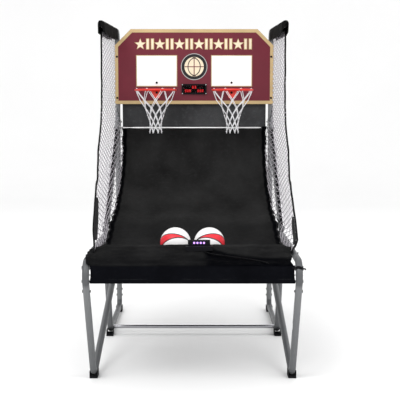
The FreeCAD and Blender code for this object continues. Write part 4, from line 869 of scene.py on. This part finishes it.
def net_strands(outline, side):
    """Both diagonal families of net cord, kinked at each knot, and the places of the knots."""
    tall, pitch = 4.0, 0.135
    strands, knots = [], []
    for slant in (tall, -tall):
        values = [y + slant * z for y, z in outline]
        first, last = math.ceil(min(values) / pitch), math.floor(max(values) / pitch)
        for index in range(first, last + 1):
            offset = index * pitch
            marks = crossings(outline, offset, slant)
            for start, end in zip(marks[::2], marks[1::2]):
                steps = [start]
                steps += [k * pitch for k in range(math.ceil(start / pitch), math.floor(end / pitch) + 1)]
                steps.append(end)
                path = []
                for step in steps:
                    y, z = (offset + step) / 2, (offset - step) / (2 * slant)
                    shift = 0.004 * ripple(side, y, z, 0.06, 23.0)
                    path.append(net_point(side, y + shift, z + shift * 0.7))
                strands.append([p for n, p in enumerate(path) if n == 0 or (p - path[n - 1]).length > 1e-4])
                if slant > 0:
                    knots += path[1:-1]
    return [s for s in strands if len(s) > 1], knots


def knot_mesh(places, size):
    """Small eight-sided knots, as one mesh."""
    vertices, faces = [], []
    spikes = [Vector(v) * size for v in ((1, 0, 0), (-1, 0, 0), (0, 1, 0), (0, -1, 0), (0, 0, 1.3), (0, 0, -1.3))]
    corners = [(0, 2, 4), (2, 1, 4), (1, 3, 4), (3, 0, 4), (2, 0, 5), (1, 2, 5), (3, 1, 5), (0, 3, 5)]
    for place in places:
        base = len(vertices)
        vertices += [place + spike for spike in spikes]
        faces += [tuple(base + i for i in face) for face in corners]
    return vertices, faces


def blend_net(piece):
    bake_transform(piece)
    return piece


def ordered_front(outline):
    """The net's free front edge, from its low front corner up to the arm."""
    low = min(outline, key=lambda p: p[0])
    start = outline.index(low)
    loop = outline[start:] + outline[:start]
    if loop[1][1] < loop[-1][1] and loop[1][0] > loop[-1][0]:
        loop = [loop[0]] + loop[:0:-1]
    top = max(range(len(loop)), key=lambda i: loop[i][1] - loop[i][0])
    return loop[: top + 1], loop[top:]


def build_side_net(name, side):
    """Knotted cord net with its bindings: rolled front edge, a wider patch low down, and strips along the tubes."""
    outline = [p if p[1] > 0.75 or p[0] < FRONT_CORNER else (p[0], EDGE_Z + 0.008) for p in cad_outline("side_nets", side)]
    strands, knots = net_strands(outline, side)
    net = blend_net(cord_piece(f"side_net_{name}", strands, 0.0023, SHADE_PAINTED_NET_CORD, None, "white_net", sides=4))
    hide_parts("side_nets")
    blend_net(mesh_piece(f"net_knots_{name}", *knot_mesh(knots, 0.0029), SHADE_PAINTED_NET_CORD, None, "white_net"))
    front, rest = ordered_front(outline)
    edge = curve_through([Vector((0, y, z)) for y, z in front], 0.02)
    wavy = []
    for index, p in enumerate(edge):
        shift = 0.006 * ripple(side, p.y, p.z, 0.07, 25.0)
        wavy.append(net_point(side, p.y + shift, p.z + shift * 0.4))
    bound = cord_piece(f"net_front_binding_{name}", [wavy], 0.014, BINDING, None, sides=8, flat=(1, 0, 0), thick=0.0055)
    blend_net(bound)
    border = curve_through([Vector((0, y, z)) for y, z in rest + front[:1]], 0.03)
    low_edge = [net_point(side, p.y, p.z) for p in border]
    blend_net(cord_piece(f"net_edge_binding_{name}", [low_edge], 0.006, BINDING, None, sides=6, thick=0.0018))
    build_gusset(name, side, edge)
    build_rail_sleeve(name, side)


def build_gusset(name, side, edge):
    """Wide black patch sewn along the lower part of the net's front edge."""
    low, high = GUSSET[name]
    part = [p for p in edge if low < p.z < high]
    rows = []
    for index, p in enumerate(part):
        share = index / (len(part) - 1)
        width = 0.012 + 0.085 * math.sin(math.pi * share) ** 0.6 + 0.012 * ripple(side, p.y, p.z, 0.06, 27.0)
        row = []
        for i in range(7):
            across = i / 6
            lift = -0.005 - 0.008 * ease(across) + 0.002 * ripple(side, p.y, p.z + across * 0.1, 0.04, 29.0)
            row.append(net_point(side, p.y + width * across, p.z - width * across * 0.3, lift))
        rows.append(row)
    blend_net(grid_piece(f"net_gusset_{name}", rows, BINDING, None, thickness=0.002))


def build_rail_sleeve(name, side):
    """White mesh sleeve that holds the net to the inclined rail, sewn along a black seam, with its lacing."""
    length = (centre("shoulder_plates") - PIVOT).yz.length
    along = Vector((0, math.cos(SLOPE), math.sin(SLOPE)))
    above = Vector((0, -math.sin(SLOPE), math.cos(SLOPE)))
    across = Vector((1, 0, 0))
    rows, seam, ties, count = [], [], [], 72
    for index in range(4, count - 4):
        p = Vector((side * TUBE_X, PIVOT.y, PIVOT.z)) + along * (length * index / count)
        row = []
        for spoke in range(11):
            turn = side * math.radians(135 - 15 * spoke)
            radius = TUBE_RADIUS + 0.003 + 0.0015 * ripple(side + turn, p.y, p.z, 0.05, 35.0)
            row.append(p + (above * math.cos(turn) + across * math.sin(turn)) * radius)
        rows.append(row)
        seam.append(p + above * (TUBE_RADIUS + 0.006) + across * (0.001 * ripple(side, p.y, p.z, 0.12, 37.0)))
        if index % 6 == 0:
            hem = net_point(side, p.y, p.z, -0.001)
            ties.append(loop_round(hem, p, along, TUBE_RADIUS + 0.0065))
    grid_piece(f"net_sleeve_{name}", rows, NET_TAPE, REAR, "white_net", thickness=0.001)
    cord_piece(f"net_rail_seam_{name}", [seam], 0.0095, BINDING, REAR, sides=6, flat=above, thick=0.003)
    cord_piece(f"net_rail_ties_{name}", ties, 0.0014, ELASTIC, REAR, sides=5)


HOOP_ROD = 0.0075


def build_hoop_net(name, side):
    """Hoop net: long looped cords from the ring, then knotted diamonds down to a narrow neck."""
    low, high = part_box("hoop_nets")
    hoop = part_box(f"hoop_{name}")
    middle_x = (hoop[0].x + hoop[1].x) / 2
    ring = (hoop[1].x - hoop[0].x) / 2 - HOOP_ROD
    middle_y = hoop[0].y + ring + HOOP_ROD
    top = high.z + 0.006
    levels = [(0.113, -0.07), (0.08, -0.124), (0.057, -0.176), (0.045, -0.222), (0.041, -0.26), (0.045, -0.293)]
    count, cords, knots = 8, [], []

    def at(radius, turn, z):
        sway = 0.003 * ripple(radius * math.cos(turn), radius * math.sin(turn) + side, z, 0.05, 31.0)
        return Vector((middle_x + (radius + sway) * math.cos(turn), middle_y + (radius + sway) * math.sin(turn), z))

    def node(level, index):
        radius, drop = levels[level]
        return at(radius, math.tau * (index + level / 2) / count, top + drop)

    for index in range(count):
        turn = math.tau * (index + 0.5) / count
        left, right = node(0, index), node(0, index + 1)
        gap = 0.010 / ring
        over = [
            at(ring - 0.003, turn - gap * 1.6, top - 0.014),
            at(ring, turn - gap, top + 0.004),
            at(ring + 0.002, turn, top + 0.0145),
            at(ring, turn + gap, top + 0.004),
            at(ring - 0.003, turn + gap * 1.6, top - 0.014),
        ]
        cords.append(curve_through([left, *over, right], 0.008))
        for level in range(len(levels) - 1):
            for step in (-1, 0):
                cords.append([node(level, index), (node(level, index) + node(level + 1, index + step)) / 2, node(level + 1, index + step)])
            knots.append(node(level, index))
        last = node(len(levels) - 1, index)
        cords.append([last, last + Vector((0, 0, -0.012))])
        knots.append(last)
    net = cord_piece(f"hoop_net_{name}", cords, 0.0026, HOOP_CORD, REAR, "white_net", sides=7)
    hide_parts("hoop_nets")
    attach(mesh_piece(f"hoop_knots_{name}", *knot_mesh(knots, 0.0055), HOOP_CORD, None, "white_net"), REAR)


# ---------------------------------------------------------------- printed board, balls and label

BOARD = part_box("backboard")
INK = 0.0005


def ink_piece(name, shapes, material, lift=1):
    """Flat printed shapes on the board's face, as thin raised ink. Each shape is an outline in X and Z."""
    vertices, faces = [], []
    y = BOARD[0].y - INK * lift
    for outline, holes in shapes:
        base = len(vertices)
        loop = outline if not holes else None
        if loop:
            vertices += [Vector((x, y, z)) for x, z in loop]
            faces.append(tuple(range(base, base + len(loop))))
        else:
            inner = holes[0]
            vertices += [Vector((x, y, z)) for x, z in outline] + [Vector((x, y, z)) for x, z in inner]
            n = len(outline)
            faces += [(base + i, base + (i + 1) % n, base + n + (i + 1) % n, base + n + i) for i in range(n)]
    piece = mesh_piece(name, vertices, faces, material, REAR, "board_print", smooth=False)
    film = piece.modifiers.new("film", "SOLIDIFY")
    film.thickness = INK * 0.8
    film.offset = 0
    return piece


def rectangle(x, z, wide, tall):
    return [(x - wide / 2, z - tall / 2), (x + wide / 2, z - tall / 2), (x + wide / 2, z + tall / 2), (x - wide / 2, z + tall / 2)]


def circle(x, z, radius, count=64):
    return [(x + radius * math.cos(math.tau * i / count), z + radius * math.sin(math.tau * i / count)) for i in range(count)]


def inset(outline, distance):
    """A convex outline moved inward by a distance, with its corners kept sharp."""
    result, count = [], len(outline)
    for index in range(count):
        before, here, after = (Vector(outline[(index + k) % count]) for k in (-1, 0, 1))
        first, second = (here - before).normalized(), (after - here).normalized()
        normal_one, normal_two = Vector((-first.y, first.x)), Vector((-second.y, second.x))
        middle = (normal_one + normal_two).normalized()
        result.append(tuple(here + middle * (distance / middle.dot(normal_one))))
    return result


def star(x, z, radius):
    points = []
    for index in range(10):
        reach = radius if index % 2 == 0 else radius * 0.42
        turn = math.radians(90 + 36 * index)
        points.append((x + reach * math.cos(turn), z + reach * math.sin(turn)))
    return points


def band(points, width):
    """A flat stroke of a given width along a line of points."""
    left, right = [], []
    for index, point in enumerate(points):
        before, after = points[max(index - 1, 0)], points[min(index + 1, len(points) - 1)]
        along = (Vector(after) - Vector(before)).normalized()
        side = Vector((-along.y, along.x)) * width / 2
        left.append(tuple(Vector(point) + side))
        right.append(tuple(Vector(point) - side))
    return left + right[::-1]


def build_board_print():
    """Border, shooter's squares, a band of stars and bars and a plain basketball roundel."""
    corner = 0.118
    half, low, high = BOARD[1].x - 0.0005, BOARD[0].z + 0.0005, BOARD[1].z - 0.0005
    outline = [(-half, low), (half, low), (half, high - corner), (half - corner, high), (corner - half, high), (-half, high - corner)]
    ink_piece("print_border", [(outline, [inset(outline, 0.024)])], TAN)
    hoops = [(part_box(f"hoop_{name}")[0].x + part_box(f"hoop_{name}")[1].x) / 2 for name in SIDES]
    square_z, wide, tall = low + 0.242, 0.291, 0.218
    ink_piece("print_squares", [(rectangle(x, square_z, wide, tall), None) for x in hoops], WHITE_INK)
    frames = [(rectangle(x, square_z, wide + 0.01, tall + 0.01), [rectangle(x, square_z, wide, tall)]) for x in hoops]
    ink_piece("print_square_frames", frames, TAN, 2)
    band_z, height = high - 0.107, 0.08
    stars, bars, outlines = [], [], []
    places = [-0.43 + 0.86 * (i + 0.5) / 12 for i in range(12)]
    for index, x in enumerate(places):
        if index % 2:
            for shift in (-0.0175, 0.0175):
                outlines.append((rectangle(x + shift, band_z, 0.024, height), None))
                bars.append((rectangle(x + shift, band_z, 0.015, height - 0.01), None))
        else:
            outlines.append((star(x, band_z - 0.003, height * 0.56), None))
            stars.append((star(x, band_z - 0.003, height * 0.47), None))
    ink_piece("print_band_outline", outlines, TAN)
    ink_piece("print_band", stars + bars, CREAM, 2)
    ball_z, ball_radius = low + 0.272, 0.097
    ink_piece("print_roundel_rim", [(circle(0, ball_z, ball_radius), [circle(0, ball_z, ball_radius - 0.005)])], SILVER_INK, 3)
    ink_piece("print_roundel_field", [(circle(0, ball_z, ball_radius - 0.004), None)], BLACK_INK)
    ink_piece("print_roundel_ball", [(circle(0, ball_z, 0.071), None)], CREAM, 2)
    seams = []
    for bow in (-0.045, 0.045):
        line = [(bow * (1 - (t / 8) ** 2 * 1.25), ball_z + 0.068 * math.sin(math.radians(t * 10))) for t in range(-8, 9)]
        seams.append((band([(x, z) for x, z in line], 0.006), None))
    seams.append((band([(-0.07, ball_z), (0.07, ball_z)], 0.006), None))
    seams.append((band([(0, ball_z - 0.07), (0, ball_z + 0.07)], 0.006), None))
    for index, seam in enumerate(seams):
        ink_piece(f"print_roundel_seam_{index + 1}", [seam], MAROON if index > 1 else BLACK_INK, 3 + index % 2)


def plane_through(a, b, c):
    """Unit normal and offset of the plane through three points, with the normal upward."""
    normal = (Vector(b) - Vector(a)).cross(Vector(c) - Vector(a)).normalized()
    normal = normal if normal.z > 0 else -normal
    return normal, normal.dot(Vector(a))


def build_ball(name, side):
    """Small rubber ball: grooved seams cut into its skin and one curved coloured panel."""
    spot = centre(f"ball_{name}")
    radius = (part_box(f"ball_{name}")[1].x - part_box(f"ball_{name}")[0].x) / 2
    upper = plane_through((-0.93, -0.15, 0.34), (-0.29, -0.66, 0.69), (0.87, -0.45, 0.2))
    lower = plane_through((-0.73, -0.68, 0.07), (0.01, -0.89, 0.45), (0.87, -0.45, 0.2))
    rear = (Vector((0.2, 0.95, 0.25)).normalized(), 0.45)
    under = (Vector((0.1, -0.35, 0.93)).normalized(), -0.42)
    planes = [upper, lower, rear, under]
    rings, spokes = 120, 200
    vertices, panel, groove = [], [], []
    for ring in range(rings + 1):
        tilt = math.pi * ring / rings
        for spoke in range(spokes if 0 < ring < rings else 1):
            turn = math.tau * spoke / spokes
            p = Vector((math.sin(tilt) * math.cos(turn), math.sin(tilt) * math.sin(turn), math.cos(tilt)))
            local = Vector((p.x * -side, p.y, p.z))
            gaps = [(local.dot(n) - d) / math.sqrt(max(1 - d * d, 0.05)) for n, d in planes]
            near = min(abs(gap) for gap in gaps) * radius
            cut = math.exp(-((near / 0.0034) ** 2))
            pebble = 0.00012 * math.sin(p.x * 260) * math.sin(p.y * 260) * math.sin(p.z * 260)
            vertices.append(spot + p * (radius - 0.0012 * cut + pebble))
            panel.append(1.0 if gaps[0] < 0 < gaps[1] else 0.0)
            groove.append(cut)
    faces = [(0, 1 + s, 1 + (s + 1) % spokes) for s in range(spokes)]
    for ring in range(rings - 2):
        base = 1 + ring * spokes
        faces += [
            (base + s, base + spokes + s, base + spokes + (s + 1) % spokes, base + (s + 1) % spokes)
            for s in range(spokes)
        ]
    base, pole = 1 + (rings - 2) * spokes, len(vertices) - 1
    faces += [(pole, base + (s + 1) % spokes, base + s) for s in range(spokes)]
    ball = mesh_piece(f"ball_skin_{name}", vertices, faces, BALL_SKIN, f"ball_{name}", "ball_skin")
    for key, values in (("panel", panel), ("groove", groove)):
        ball.data.attributes.new(key, "FLOAT", "POINT").data.foreach_set("value", values)
    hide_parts(f"ball_{name}")


def build_leg_label():
    """Blank wrap label on the right leg."""
    leg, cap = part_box("leg_right"), centre("foot_caps_front")
    top = Vector((TUBE_X, leg[0].y + TUBE_RADIUS, leg[1].z))
    foot = Vector((TUBE_X, cap.y - 0.024, 0.014))
    along = (foot - top).normalized()
    outward = Vector((0, along.z, -along.y))
    middle = top + (foot - top) * 0.44
    rows = []
    for step in range(7):
        shift = along * (0.05 * (step / 6 - 0.5))
        row = []
        for spoke in range(25):
            turn = math.radians(-150 + 300 * spoke / 24)
            spread = outward * math.cos(turn) + Vector((1, 0, 0)) * math.sin(turn)
            row.append(middle + shift + spread * (TUBE_RADIUS + 0.0007))
        rows.append(row)
    grid_piece("leg_label", rows, LABEL, FRONT, "board_print", thickness=0.0004, rounds=0)


# ---------------------------------------------------------------- stage, light and camera


def build_stage():
    """Pale floor that curves up into a backdrop far behind the object."""
    rows = []
    for x in (-14.0, 14.0):
        row = [Vector((x, -12, -0.0005)), Vector((x, 9, -0.0005))]
        row += [
            Vector((x, 9 + 5 * math.sin(math.radians(a)), 5 - 5 * math.cos(math.radians(a)) - 0.0005))
            for a in range(6, 91, 6)
        ]
        rows.append(row + [Vector((x, 14, 16))])
    width = len(rows[0])
    faces = [(c, c + 1, width + c + 1, width + c) for c in range(width - 1)]
    floor = mesh_piece("floor", rows[0] + rows[1], faces, make_studio_floor())
    del floor["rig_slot"]


def build_light():
    world = bpy.data.worlds.new("studio")
    world.use_nodes = True
    world.node_tree.nodes["Background"].inputs["Color"].default_value = (1, 1, 1, 1)
    world.node_tree.nodes["Background"].inputs["Strength"].default_value = 1.1
    bpy.context.scene.world = world
    lamps = (("key", (-2.2, -4.5, 5.0), 3.0, 170), ("fill", (3.5, -3.5, 3.2), 3.0, 70), ("rim", (0, 4.5, 4.5), 3.0, 60))
    target = Vector((0, 0, 0.9))
    for name, place, size, power in lamps:
        light = bpy.data.lights.new(name, "AREA")
        light.size, light.energy = size, power
        lamp = bpy.data.objects.new(name, light)
        lamp.location = place
        lamp.rotation_euler = (target - Vector(place)).to_track_quat("-Z", "Y").to_euler()
        bpy.context.scene.collection.objects.link(lamp)


def build_camera():
    camera = bpy.data.cameras.new("camera")
    camera.lens, camera.sensor_width = 81.45, 36
    camera.clip_end = 60
    holder = bpy.data.objects.new("camera", camera)
    holder.location = (0.032, -5.73, 1.549)
    holder.rotation_euler = (math.radians(90 - 6), 0, math.radians(-0.095))
    bpy.context.scene.collection.objects.link(holder)
    bpy.context.scene.camera = holder


finish_cad_nodes()
sheet_edges = build_return_sheet()
build_hems(sheet_edges)
build_back_panel()
build_skirt()
build_bend_strap()
for side_name, side_sign in SIDES.items():
    sleeve_piece = build_sleeve(side_name, side_sign)
    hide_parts("arm_sleeves")
    build_side_net(side_name, side_sign)
    build_hoop_net(side_name, side_sign)
    build_ball(side_name, side_sign)
build_board_print()
build_leg_label()
build_stage()
build_light()
build_camera()
bpy.context.scene.view_settings.view_transform = "Standard"
